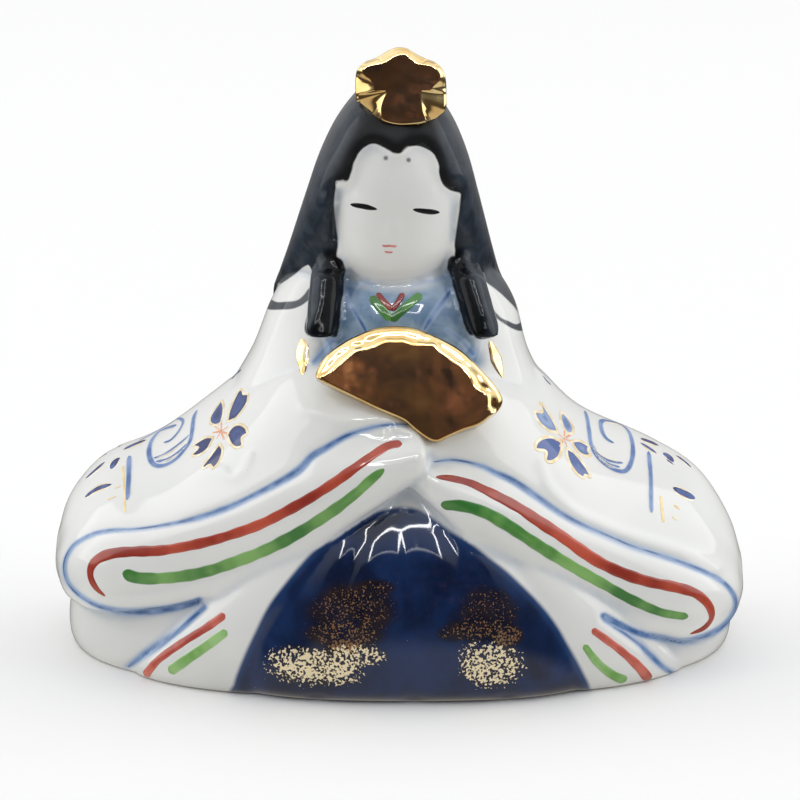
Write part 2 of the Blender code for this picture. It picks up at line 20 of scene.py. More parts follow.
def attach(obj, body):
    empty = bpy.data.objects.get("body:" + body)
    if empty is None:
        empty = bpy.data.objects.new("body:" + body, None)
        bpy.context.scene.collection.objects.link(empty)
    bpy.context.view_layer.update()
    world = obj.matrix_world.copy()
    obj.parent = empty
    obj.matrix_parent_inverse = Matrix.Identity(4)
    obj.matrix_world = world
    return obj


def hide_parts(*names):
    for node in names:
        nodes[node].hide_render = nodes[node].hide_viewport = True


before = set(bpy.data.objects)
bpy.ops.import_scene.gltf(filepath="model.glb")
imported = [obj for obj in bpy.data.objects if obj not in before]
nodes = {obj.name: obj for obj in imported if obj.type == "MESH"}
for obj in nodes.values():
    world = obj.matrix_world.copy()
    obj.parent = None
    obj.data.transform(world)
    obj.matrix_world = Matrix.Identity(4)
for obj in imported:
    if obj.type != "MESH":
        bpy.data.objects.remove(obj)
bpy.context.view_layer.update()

MM = 0.001

# %% [markdown]
# ## The camera
#
# The photograph looks slightly down at the doll from the front. The camera comes first, because
# the painting is placed by what this camera sees: a point of the picture becomes a ray, and the
# place where the ray meets the glaze is where the brush goes.

# %% The camera at the photograph's angle
PICTURE_SIZE = 800
PIXELS_PER_MM = 7.6
CAMERA_DISTANCE = 350 * MM
CAMERA_RISE = math.radians(15)
AIM_POINT = Vector((0, 0, 32.6 * MM))
SENSOR_WIDTH = 36.0

to_camera = Vector((0, -math.cos(CAMERA_RISE), math.sin(CAMERA_RISE)))
focal_pixels = PIXELS_PER_MM * CAMERA_DISTANCE / MM

camera_data = bpy.data.cameras.new("photo_camera")
camera_data.sensor_width = SENSOR_WIDTH
camera_data.lens = SENSOR_WIDTH * focal_pixels / PICTURE_SIZE
camera_data.clip_start = 10 * MM
camera = bpy.data.objects.new("photo_camera", camera_data)
camera.location = AIM_POINT + to_camera * CAMERA_DISTANCE
camera.rotation_euler = to_camera.to_track_quat("Z", "Y").to_euler()
bpy.context.scene.collection.objects.link(camera)
bpy.context.scene.camera = camera
bpy.context.scene.view_settings.view_transform = "Standard"
print("lens:", round(camera_data.lens, 1), "mm")

# %% From the picture to the doll and back
camera_right = np.array((1.0, 0.0, 0.0))
camera_forward = -np.array(to_camera)
camera_up = np.cross(camera_right, camera_forward)
camera_place = np.array(camera.location)
HALF_PICTURE = PICTURE_SIZE / 2


def picture_ray(pixel):
    """The direction in which the camera sees a pixel of the photograph."""
    across = (pixel[0] - HALF_PICTURE) / focal_pixels
    rise = (HALF_PICTURE - pixel[1]) / focal_pixels
    ray = camera_forward + camera_right * across + camera_up * rise
    return ray / np.linalg.norm(ray)


def picture_pixels(points):
    """The pixels at which the camera sees these points."""
    seen = np.asarray(points) - camera_place
    depth = seen @ camera_forward
    across = HALF_PICTURE + focal_pixels * (seen @ camera_right) / depth
    down = HALF_PICTURE - focal_pixels * (seen @ camera_up) / depth
    return np.stack([across, down], axis=-1)


print("the origin is at pixel", picture_pixels(np.zeros((1, 3))).round(1))

# %% [markdown]
# ## The glazed skin
#
# The solids are separate pieces with thin joints between them. On the real doll the glaze runs
# over those joints. Subdividing each solid would keep the joints open, and one Boolean union would
# keep them sharp. A voxel remesh closes them, and smoothing then rounds the creases as glaze does.
#
# The solids are faceted. Each triangle is first split and bulged along its corner normals, so that
# a glossy glaze doesn't show the facets.

# %% Triangles bulged to their curve
SHARP_ANGLE = math.radians(42)
SPLITS = 4
BULGE = 0.5
SKIN_LIFT = 0.2 * MM
WELD = MM / 1000
TINY = 1e-12


def corner_normals(triangles, sharpest):
    """Normals at each corner, averaged over the faces there that turn less than an angle."""
    flat = triangles.reshape(-1, 3)
    _, meeting = np.unique(np.round(flat / WELD), axis=0, return_inverse=True)
    sides = np.roll(triangles, -1, axis=1) - triangles
    faces = np.cross(sides[:, 0], sides[:, 1])
    faces /= np.maximum(np.linalg.norm(faces, axis=1, keepdims=True), TINY)
    lengths = np.maximum(np.linalg.norm(sides, axis=2, keepdims=True), TINY)
    turned = sides / lengths
    cosines = -np.einsum("fij,fij->fi", turned, np.roll(turned, 1, axis=1))
    weights = np.arccos(np.clip(cosines, -1, 1)).ravel()
    order = np.argsort(meeting, kind="stable")
    starts = np.flatnonzero(np.diff(meeting[order])) + 1
    normals = np.empty_like(flat)
    for corners in np.split(order, starts):
        around = faces[corners // 3]
        kept = (around @ around.T) > math.cos(sharpest)
        normals[corners] = kept @ (around * weights[corners][:, None])
    normals /= np.maximum(np.linalg.norm(normals, axis=1, keepdims=True), TINY)
    return normals.reshape(-1, 3, 3)


def vertex_array(mesh, field):
    """A vertex property of a mesh as rows of three."""
    values = np.empty(len(mesh.vertices) * 3, np.float32)
    mesh.vertices.foreach_get(field, values)
    return values.reshape(-1, 3).astype(float)


def face_corners(mesh):
    """The corners of each face, for a mesh whose faces all have as many sides."""
    corners = np.empty(len(mesh.loops), np.int32)
    mesh.loops.foreach_get("vertex_index", corners)
    return corners.reshape(len(mesh.polygons), -1)


def bulged(node):
    """The node's triangles, split and curved, and lifted so that neighbours overlap."""
    triangles = vertex_array(node.data, "co")[face_corners(node.data)]
    curve = corner_normals(triangles, SHARP_ANGLE)
    lift = corner_normals(triangles, math.pi)
    steps = [(i, j) for i in range(SPLITS + 1) for j in range(SPLITS + 1 - i)]
    weights = np.array([(i, j, SPLITS - i - j) for i, j in steps]) / SPLITS
    flat = np.einsum("wk,fkc->fwc", weights, triangles)
    off = flat[:, :, None, :] - triangles[:, None, :, :]
    drop = np.einsum("fwkc,fkc->fwk", off, curve)
    bent = flat - BULGE * np.einsum("wk,fwk,fkc->fwc", weights, drop, curve)
    raised = bent + SKIN_LIFT * np.einsum("wk,fkc->fwc", weights, lift)
    index = {step: n for n, step in enumerate(steps)}
    small = []
    for i, j in steps:
        if i + j < SPLITS:
            small.append((index[i, j], index[i + 1, j], index[i, j + 1]))
        if i + j < SPLITS - 1:
            small.append((index[i + 1, j], index[i + 1, j + 1], index[i, j + 1]))
    first = np.arange(len(triangles))[:, None, None] * len(steps)
    return raised.reshape(-1, 3), (np.array(small)[None] + first).reshape(-1, 3)


def new_mesh(name, points, faces):
    """A mesh from arrays of points and of faces with the same number of sides."""
    mesh = bpy.data.meshes.new(name)
    mesh.vertices.add(len(points))
    mesh.vertices.foreach_set("co", np.asarray(points, np.float32).ravel())
    sides = faces.shape[1]
    mesh.loops.add(faces.size)
    mesh.loops.foreach_set("vertex_index", faces.astype(np.int32).ravel())
    mesh.polygons.add(len(faces))
    mesh.polygons.foreach_set("loop_start", np.arange(0, faces.size, sides, dtype=np.int32))
    mesh.update(calc_edges=True)
    mesh.shade_smooth()
    return mesh


# %% One skin by voxel remesh
VOXEL = 0.4 * MM
SOFTENING = 9
SETTLE = 0.14 * MM

GILT_NODES = ("crown", "fan")
glazed = [name for name in sorted(nodes) if name not in GILT_NODES]

all_points, all_faces, count = [], [], 0
for name in glazed:
    points, faces = bulged(nodes[name])
    all_points.append(points)
    all_faces.append(faces + count)
    count += len(points)

raw = bpy.data.objects.new("raw_skin", new_mesh("raw_skin", np.vstack(all_points), np.vstack(all_faces)))
bpy.context.scene.collection.objects.link(raw)
remesh = raw.modifiers.new("fuse", "REMESH")
remesh.mode = "VOXEL"
remesh.voxel_size = VOXEL
soften = raw.modifiers.new("soften", "SMOOTH")
soften.factor = 0.5
soften.iterations = SOFTENING
graph = bpy.context.evaluated_depsgraph_get()
fused = bpy.data.meshes.new_from_object(raw.evaluated_get(graph))
bpy.data.objects.remove(raw)

skin_faces = face_corners(fused)
skin_points = vertex_array(fused, "co") - SETTLE * vertex_array(fused, "normal")
skin_points[:, 2] = np.maximum(skin_points[:, 2], 0)


def place_skin(points):
    """Moves the skin to these points and returns its new normals."""
    fused.vertices.foreach_set("co", points.astype(np.float32).ravel())
    fused.update()
    return vertex_array(fused, "normal")


skin_normals = place_skin(skin_points)
print("fused skin:", len(skin_points), "points", len(skin_faces), "faces")

# %% Averages over neighbouring points
edges = np.empty(len(fused.edges) * 2, np.int32)
fused.edges.foreach_get("vertices", edges)
edge_ends, edge_others = edges, edges.reshape(-1, 2)[:, ::-1].ravel()
degree = np.bincount(edge_ends, minlength=len(skin_points))


def blurred(values, rounds):
    """Values averaged over neighbouring points of the skin, again and again."""
    for _ in range(rounds):
        sums = [np.bincount(edge_ends, column[edge_others], len(values)) / degree for column in values.T]
        values = (values + np.stack(sums, axis=1)) / 2
    return values


# %% Which piece each part of the skin belongs to
def node_tree(names):
    """A search tree over the triangles of some nodes, and the node of each triangle."""
    points, faces, owner = [], [], []
    for name in names:
        mesh = nodes[name].data
        start = len(points)
        points += [vertex.co.copy() for vertex in mesh.vertices]
        faces += [[start + v for v in face.vertices] for face in mesh.polygons]
        owner += [glazed.index(name)] * len(mesh.polygons)
    return BVHTree.FromPolygons(points, faces), owner


whole_tree, whole_owner = node_tree(glazed)
point_owner = np.array([whole_owner[whole_tree.find_nearest(p)[2]] for p in skin_points])
corner_owner = point_owner[skin_faces]
face_owner = np.median(corner_owner, axis=1).astype(int)
stray = ~np.any(corner_owner == face_owner[:, None], axis=1)
face_owner[stray] = corner_owner[stray, 0]
for number, name in enumerate(glazed):
    print(name, int((face_owner == number).sum()), "faces")


FAR_MM = 50.0


def distance_to(names, needed):
    """How far the needed points of the skin lie from some nodes, in mm."""
    tree, _ = node_tree(names)
    away = np.full(len(skin_points), FAR_MM)
    away[needed] = [tree.find_nearest(p)[3] / MM for p in skin_points[needed]]
    return away


# %% [markdown]
# ## Where each colour lies
#
# The painter works by eye, so the colours don't stop exactly at the joints. Each region is kept as
# a signed distance in millimetres, positive inside it, at every point of the skin. A shader then
# draws the edge as crisp or as soft as the real one, finer than the mesh itself could.
#
# Where the photograph shows the edge, it is a curve through points read off it. Everywhere
# else it is half way between the two pieces that meet there.

# %% Curves through listed points
FARTHEST = 1e9


def smooth_line(points, steps=8, closed=False):
    """A Catmull-Rom curve through the points."""
    points = np.asarray(points, float)
    if closed:
        padded = np.vstack([points[-1:], points, points[:2]])
    else:
        padded = np.vstack([2 * points[0] - points[1], points, 2 * points[-1] - points[-2]])
    t = np.linspace(0, 1, steps, endpoint=False)[:, None]
    arcs = []
    for a, b, c, d in zip(padded, padded[1:], padded[2:], padded[3:]):
        cubic = 2 * b + (c - a) * t + (2 * a - 5 * b + 4 * c - d) * t**2 + (3 * b - 3 * c + d - a) * t**3
        arcs.append(cubic / 2)
    line = np.vstack(arcs)
    return line if closed else np.vstack([line, points[-1:]])


def evenly(line, spacing):
    """The same line with points at even steps."""
    steps = np.linalg.norm(np.diff(line, axis=0), axis=1)
    run = np.concatenate([[0], np.cumsum(steps)])
    at = np.linspace(0, run[-1], max(int(math.ceil(run[-1] / spacing)), 3) + 1)
    return np.stack([np.interp(at, run, column) for column in line.T], axis=1)


def signed_distance(points, outline):
    """Distance of flat points to a closed outline, positive inside it."""
    nearest = np.full(len(points), FARTHEST)
    inside = np.zeros(len(points), bool)
    for a, b in zip(outline, np.roll(outline, -1, axis=0)):
        side = b - a
        length = side @ side
        if length == 0:
            continue
        along = np.clip((points - a) @ side / length, 0, 1)
        nearest = np.minimum(nearest, np.linalg.norm(points - a - along[:, None] * side, axis=1))
        crosses = (a[1] > points[:, 1]) != (b[1] > points[:, 1])
        if a[1] != b[1]:
            inside ^= crosses & (points[:, 0] < a[0] + (points[:, 1] - a[1]) * side[0] / side[1])
    return np.where(inside, nearest, -nearest)


def ease(values, low, high):
    """0 below low, 1 above high, and a smooth step between."""
    share = np.clip((values - low) / (high - low), 0, 1)
    return share * share * (3 - 2 * share)


def line_distance(points, line):
    """Distance of flat points to an open line."""
    nearest = np.full(len(points), FARTHEST)
    for a, b in zip(line, line[1:]):
        side = b - a
        along = np.clip((points - a) @ side / (side @ side), 0, 1)
        nearest = np.minimum(nearest, np.linalg.norm(points - a - along[:, None] * side, axis=1))
    return nearest


EDGE_ON = 0.15
skin_pixels = picture_pixels(skin_points)
view_lines = camera_place - skin_points
view_lines /= np.linalg.norm(view_lines, axis=1, keepdims=True)
facing = np.einsum("ij,ij->i", skin_normals, view_lines)
seen_share = ease(facing, -EDGE_ON, EDGE_ON)


def drawn_region(outline, needed):
    """Signed distance in mm to an outline read from the photograph, at the needed points."""
    region = np.full(len(skin_points), -FAR_MM)
    region[needed] = signed_distance(skin_pixels[needed], outline) / PIXELS_PER_MM
    return region


def owned_by(names):
    """Which points of the skin belong to some pieces."""
    return np.isin(point_owner, [glazed.index(name) for name in names])


# %% [markdown]
# ## Folds in the clay
#
# The sleeve edges and the skirt have shallow folds that the moulds gave them. The painter's blue
# line runs in the fold at the edge of each sleeve. They are pressed into the skin here rather than
# bumped in a shader, because their highlights are what makes the photograph's sleeves look folded.

# %% Fold lines, read from the photograph
RIGHT_SLEEVE_EDGE = [
    (408, 424.4), (392.8, 424.4), (371, 427.7), (346, 436), (325, 448), (311.5, 456), (299.5, 469),
    (281, 481),
    (252, 496), (226, 508), (193, 519), (158, 526), (134, 529), (111, 530), (92, 534), (75, 543.5),
    (67, 554),
    (63.6, 566), (66, 580), (75, 592), (89.6, 602.5), (106, 609), (122.6, 612), (141.5, 612), (170, 609),
    (191, 604), (199, 601),
]
RIGHT_HEM_FOLD = [(203, 607), (192, 617), (181.6, 627), (162.7, 641.5), (144, 654), (127, 667)]
LEFT_SLEEVE_EDGE = [
    (433, 462), (454, 460), (479, 465), (495.6, 472.5), (514, 481), (535, 495), (559, 512), (582.6, 525),
    (606, 535), (632, 546), (660.5, 555), (689, 565), (707.6, 573), (724, 582.5), (734, 594), (736, 605),
    (731, 618), (720, 629), (704, 637), (684, 642), (665, 639), (641.6, 634), (622.7, 626), (604, 616),
]
LEFT_HEM_FOLD = [(606, 619), (622, 630), (637, 641), (651, 655), (665, 668), (679, 675)]
SKIRT_PLEATS = [
    [(406, 512), (410, 560), (413, 630), (414, 702)],
    [(372, 520), (345, 580), (326, 640), (316, 697)],
    [(446, 530), (474, 590), (496, 640), (508, 698)],
]
SLEEVE_RIDGES = [
    [(541, 464), (546, 480), (556, 494), (575, 511), (600, 523), (625, 533), (650, 541), (675, 549),
    (700, 559), (718, 568)],
    [(303, 409), (318, 412), (335, 419), (352, 422), (372, 424), (382, 432), (390, 437)],
    [(222, 470), (232, 478), (244, 470), (250, 456)],
]
LOCK_RIDGES = [
    [(324, 256), (324.4, 273), (322.8, 287), (322, 299), (319, 311), (313, 323), (308, 329)],
    [(466, 262), (469, 278), (474, 294), (480, 311), (486, 329)], [(474, 276), (479, 296), (485, 316)],
]
HAIR_SIDES = [
    # the line next to the face and the line at the outside, on each side
    ([(372, 112), (352, 140), (338, 175), (334, 215), (330, 250)], [(352, 104), (330, 140), (310, 190),
      (290, 240), (275, 280)]),
    ([(432, 112), (444, 140), (455, 175), (462, 215), (468, 255)], [(448, 108), (466, 140), (482, 190),
      (497, 235), (510, 275)]),
]
HAIR_SHARES = (0.12, 0.34, 0.52, 0.68, 0.86)
SOFT_RIDGES = [
    [(297, 286), (284, 312), (268, 340), (252, 366), (238, 388)],
    [(510, 338), (519, 362), (524, 385), (527, 408)],
    [(528, 356), (541, 380), (552, 398)],
]

# %% Pressing the folds
ROBE = ("robe_shell",)
SLEEVES = ("right_sleeve", "left_sleeve")
HEMS = ("right_hem", "left_hem")
SKIRT = ("hakama_front",)
HEAD = ("head",)
HAIR = ("hair",)
LOCKS = ("left_side_lock", "right_side_lock")
hair_ridges = [
    np.array(inner) * (1 - share) + np.array(outer) * share
    for inner, outer in HAIR_SIDES for share in HAIR_SHARES
]
FOLDS = [
    # lines, depth, width in mm across the picture, and the pieces
    ([RIGHT_SLEEVE_EDGE, LEFT_SLEEVE_EDGE], 0.24 * MM, 0.8, SLEEVES),
    ([RIGHT_HEM_FOLD, LEFT_HEM_FOLD], 0.24 * MM, 0.8, HEMS + ROBE),
    (SKIRT_PLEATS, 0.28 * MM, 1.3, SKIRT),
]
RIDGES = [
    # lines, height, width in mm across the picture, and the pieces
    (SLEEVE_RIDGES, 0.2 * MM, 0.7, SLEEVES),
    (SOFT_RIDGES, 0.16 * MM, 1.1, SLEEVES + ROBE),
    (LOCK_RIDGES, 0.3 * MM, 0.7, LOCKS),
    (hair_ridges, 0.1 * MM, 0.5, HAIR),
]
FACING_US = (0.1, 0.5)
LINE_STEPS = 5


def pressed(line, depth, width, names):
    """How deep a fold goes at each point: width is in mm across the picture."""
    needed = owned_by(names) & (facing > FACING_US[0])
    away = line_distance(skin_pixels[needed], smooth_line(line, LINE_STEPS)) / PIXELS_PER_MM
    fold = np.zeros(len(skin_points))
    fold[needed] = depth * np.exp(-((away / width) ** 2)) * ease(facing[needed], *FACING_US)
    return fold


dent = np.zeros(len(skin_points))
for lines, depth, width, names in FOLDS:
    for line in lines:
        dent = np.maximum(dent, pressed(line, depth, width, names))
for lines, height, width, names in RIDGES:
    for line in lines:
        dent -= pressed(line, height, width, names)

# %% The nose
NOSE_TIP, NOSE_WIDTH, NOSE_LENGTH, NOSE_RISE = (393.5, 229), 6.0, 13.0, 0.45 * MM
NOSE_UNDERSIDE = 2.4
FOLD_BLUR = 2
nose_off = (skin_pixels - np.array(NOSE_TIP)) / np.array((NOSE_WIDTH, NOSE_LENGTH))
nose_off[:, 1] = np.where(nose_off[:, 1] > 0, nose_off[:, 1] * NOSE_UNDERSIDE, nose_off[:, 1])
dent -= NOSE_RISE * np.exp(-np.sum(nose_off**2, axis=1)) * owned_by(HEAD) * ease(facing, *FACING_US)

dent = blurred(dent[:, None], FOLD_BLUR)[:, 0]
skin_points = skin_points - skin_normals * dent[:, None]
print("folds go", round(dent.max() / MM, 2), "mm deep and", round(-dent.min() / MM, 2), "mm proud")

# %% [markdown]
# ## The shape of the hair
#
# The hair is a smooth slab that ends in a clear dark edge at each side. A round edge would mirror
# the bright room along its outline and look blurred. So the points that turn away are drawn towards
# the front, until the slab is flat nearly up to its edge.
#
# At the forehead, on top of the locks and down the back, the clay was wiped smooth with a sponge.
# Averaging each point with its neighbours many times does the same. Sculpting by hand would too,
# but a script couldn't repeat it.

# %% Hair that lies flat up to its outer edge
HAIR_EDGE, FLAT_FROM, BEHIND_EDGE, EDGE_BLUR = 2.4 * MM, 0.85, -0.5, 8
BELOW_TOP = (-69 * MM, -64 * MM)
turned_away = (1 - facing / FLAT_FROM).clip(0, 1) ** 2
turned_away = np.where(facing > 0, turned_away, ease(facing, BEHIND_EDGE, 0))
turned_away *= owned_by(HAIR) * ease(-skin_points[:, 2], *BELOW_TOP)
flatter = HAIR_EDGE * blurred(turned_away[:, None], EDGE_BLUR)
skin_points = skin_points + view_lines * flatter
print("the hair's edge comes forward by up to", round(float(flatter.max() / MM), 2), "mm")

# %% Soft steps at the forehead, on the locks and down the back
BAND_OUTLINE = [
    (333, 186), (338, 168), (346, 150), (354, 135), (364, 122), (378, 112), (400, 108), (422, 112),
    (434, 122),
    (440, 140), (446, 160), (452, 178), (463, 196), (450, 196), (430, 170), (398, 170), (370, 170),
    (350, 186),
]
LOCK_TOPS = [
    [(306, 246), (346, 244), (347, 266), (338, 270), (314, 272), (304, 266)],
    [(446, 244), (474, 244), (488, 262), (486, 276), (470, 272), (448, 270)],
]
CALMING, TOP_CALMING = 30, 110
SHOULDER_LEVEL, FRONT_HALF = 28 * MM, 8 * MM
BAND_FADE, LOCK_FADE, SIDE_FADE = (-1.5, 0.8), (-1.0, 1.0), (-0.2, 0.3)
BACK_DEPTH, BACK_SIDE, BACK_FOOT = (6 * MM, 10 * MM), (-15 * MM, -11 * MM), (4 * MM, 9 * MM)
band_outline = smooth_line(BAND_OUTLINE, LINE_STEPS, closed=True)
upper_front = (skin_points[:, 2] > SHOULDER_LEVEL) & (skin_points[:, 1] < FRONT_HALF)
upper_front &= facing > BEHIND_EDGE
calm = ease(drawn_region(band_outline, upper_front), *BAND_FADE) * ease(facing, *SIDE_FADE)
skin_points += calm[:, None] * (blurred(skin_points, CALMING) - skin_points)
calm = np.zeros(len(skin_points))
for outline in LOCK_TOPS:
    calm = np.maximum(calm, ease(drawn_region(np.array(outline), upper_front), *LOCK_FADE))
calm *= ease(facing, *SIDE_FADE)
down_the_back = ease(skin_points[:, 1], *BACK_DEPTH) * ease(-np.abs(skin_points[:, 0]), *BACK_SIDE)
calm = np.maximum(calm, down_the_back * ease(skin_points[:, 2], *BACK_FOOT))
skin_points += calm[:, None] * (blurred(skin_points, TOP_CALMING) - skin_points)
skin_points[:, 2] = np.maximum(skin_points[:, 2], 0)
skin_normals = place_skin(skin_points)
facing = np.einsum("ij,ij->i", skin_normals, view_lines)
print("calmed points:", int((calm > 0).sum()))

# %% [markdown]
# ## The black of the hair
#
# The painter brushes black enamel over the raised hair and a little past it. Its edge makes the
# hairline and the strands round the two white ovals on the shoulders. The near-black band at the
# forehead is partly denser paint and partly painted shade, for the dark front of the room that it
# faces. The joint between the solids alone would be too stiff an edge. So at the front it is an
# outline read from the photograph, and round the back, which isn't seen, it follows the joint.

# %% Hair: painted where it meets the face and shoulders
BACK_LEVEL, BACK_HALF = 5 * MM, 20 * MM
at_the_back = (skin_points[:, 1] > BACK_LEVEL) & (np.abs(skin_points[:, 0]) < BACK_HALF)
upper = (skin_points[:, 2] > SHOULDER_LEVEL) | at_the_back
near_hair = distance_to(HAIR, upper)
near_locks = distance_to(LOCKS, upper)
near_rest = distance_to([n for n in glazed if n not in HAIR + LOCKS], upper)

HAIRLINE = [
    (335, 182), (347, 181), (351, 172), (353, 162), (359, 150), (369, 142.5), (377.5, 142.5), (386, 147),
    (397.5, 154), (407.5, 146), (417.5, 145.5), (427.5, 149), (435, 155), (439.5, 166), (440, 177.5),
    (446, 187.5), (461, 193),
]
RIGHT_OF_FACE = [(459, 212), (456, 232), (454, 247), (453.2, 258), (453, 270), (470, 276)]
RIGHT_SHOULDER = [
    (480, 278), (487, 283), (494, 288), (501.7, 294.4), (508, 300.6), (514, 306.7),
    (518.5, 314), (521, 322), (540, 330),
]
UNDER_HAIR = [(900, 400), (900, 900), (-100, 900), (-100, 400)]
LEFT_SHOULDER = [
    (256, 303), (264, 300), (269.4, 295.6), (272.8, 291), (279.4, 285), (287, 280), (295, 274.4),
    (302.8, 268), (309.4, 264.4),
]
LEFT_OF_FACE = [(316, 268), (341.5, 270), (340.6, 258), (339, 246), (336.5, 230), (334, 205)]

FRONT_OF_EARS = (-6 * MM, 1 * MM)
skin_outline = np.vstack([
    smooth_line(HAIRLINE, LINE_STEPS), RIGHT_OF_FACE, smooth_line(RIGHT_SHOULDER, 4), UNDER_HAIR,
    smooth_line(LEFT_SHOULDER, 4), LEFT_OF_FACE,
])
front_share = seen_share * ease(-skin_points[:, 1], *FRONT_OF_EARS) * upper
by_eye = -drawn_region(skin_outline, front_share > 0)
by_joint = np.where(upper, (near_rest - near_hair) / 2, -FAR_MM)
hair_region = by_joint * (1 - front_share) + np.where(front_share > 0, by_eye, 0) * front_share
lock_region = np.where(upper, (np.minimum(near_rest, near_hair) - near_locks) / 2, -FAR_MM)
hair_region = np.maximum(hair_region, lock_region)

# %% The strands that close the white ovals on the shoulders
LEFT_STRAND = [
    (256, 300), (264, 299.5), (270.6, 299.4), (277, 302), (287, 302), (297, 300.6), (304, 295),
    (309.4, 288), (316, 288),
    (314, 296), (307, 301.5), (300.6, 306), (291.7, 309.3), (280.6, 310), (269.4, 309.6), (262, 306.5),
    (254, 304),
]
RIGHT_STRAND = [
    (479, 284), (482.5, 287), (485, 294.4), (489.8, 304.4), (495.4, 312), (501.7, 318), (508.3, 321),
    (515, 324),
    (519.5, 323), (524, 318), (534, 326), (530, 331), (524, 330.4), (519.4, 331), (512.8, 329),
    (506, 325), (497, 318.6),
    (490, 311), (484, 301), (478, 290),
]
LEFT_LOCK = [
    (314, 260), (314, 270), (311, 279), (310.6, 290), (311, 299), (309, 309), (306, 319), (304.4, 329),
    (306.7, 334.4),
    (311.7, 336.7), (326, 336.7), (332.8, 333.3), (337, 325.6), (339, 312), (341, 290), (341.7, 272),
    (340.6, 258),
]
RIGHT_LOCK = [
    (454, 250), (452.8, 270), (455.6, 281), (459, 294.4), (462.8, 306.7), (467, 320), (472.8, 333.3),
    (476, 337.8),
    (481.7, 339.4), (490.6, 337.8), (495.6, 335.6), (496.7, 331), (495, 324.4), (492.8, 316.7),
    (490.6, 309),
    (485, 299), (481.7, 290), (479.4, 281), (479, 270), (470, 262),
]
JUST_BEHIND = -0.3
for outline in (LEFT_STRAND, RIGHT_STRAND, LEFT_LOCK, RIGHT_LOCK):
    strand = drawn_region(smooth_line(outline, 4, closed=True), upper_front & (facing > JUST_BEHIND))
    hair_region = np.maximum(hair_region, strand)
print("hair covers", int((hair_region > 0).sum()), "points")

# %% Near-black round the forehead, partly denser paint and partly painted shade, and painted shade on the inner side of the locks
LEFT_LOCK_SHADE = [
    (324, 256), (324.4, 273), (323, 287), (322, 299), (319, 311), (314, 321), (309, 330), (313, 338),
    (326, 338),
    (334, 334), (339, 325), (342, 312), (344, 290), (344, 272), (343, 258), (337, 248),
]
RIGHT_LOCK_SHADE = [
    (452, 240), (450, 257), (450, 272), (453, 283), (457, 297), (461, 309), (465, 322), (471, 336),
    (477, 341), (487, 334),
    (485, 322), (480, 308), (474, 293), (470, 281), (466, 266), (462, 250),
]
NEAR_HAIR, OUTSIDE_BAND = -0.5, -4.0


def within_hair(region):
    """The region where there is hair, and outside it everywhere else."""
    return np.where(hair_region > NEAR_HAIR, np.maximum(region, OUTSIDE_BAND), OUTSIDE_BAND)


# The forehead band is partly denser paint and partly painted shade. The inner sides of the locks are painted
# shade, where they turn from the light.
band_black_and_shade = drawn_region(band_outline, upper_front & (facing > 0))
matt_region = within_hair(band_black_and_shade)
for outline in (LEFT_LOCK_SHADE, RIGHT_LOCK_SHADE):
    dark = drawn_region(smooth_line(outline, 4, closed=True), upper_front & (facing > 0))
    band_black_and_shade = np.maximum(band_black_and_shade, dark)
band_black_and_shade = within_hair(band_black_and_shade)
print("dense black covers", int((band_black_and_shade > 0).sum()), "points")

# %% [markdown]
# ## Blue under the glaze
#
# Cobalt is brushed on the bare clay and runs a little when the glaze melts over it. The collar has
# a thin wash, and each stroke along a sleeve has a soft pale edge round a darker middle. Noise in a
# shader could blur a line anywhere, but not follow the load of a real brush. So the strength of
# each stroke is kept at the skin's points, and the dark middle comes later as a ribbon.

# %% The pale blue wash on the collar, and the tint round the face
WASH_OUTLINE = [
    (341, 262), (352, 283), (370, 288), (397, 291), (425, 288), (445, 276), (453, 262), (458, 290),
    (472, 335),
    (481, 365), (440, 372), (360, 372), (318, 362), (326, 340), (338, 318), (341, 290),
]
CHEST_DEPTH, CHEST_FOOT = (4 * MM, 7 * MM), (34 * MM, 37 * MM)
WASH_FAR, CHEST_FAR = -6, 4
chest = ease(-skin_points[:, 1], *CHEST_DEPTH) * ease(skin_points[:, 2], *CHEST_FOOT)
wash_drawn = drawn_region(smooth_line(WASH_OUTLINE, LINE_STEPS, closed=True), chest > 0)
wash_region = np.maximum(wash_drawn, WASH_FAR) * chest - (1 - chest) * CHEST_FAR
print("wash covers", int((wash_region > 0).sum()), "points")

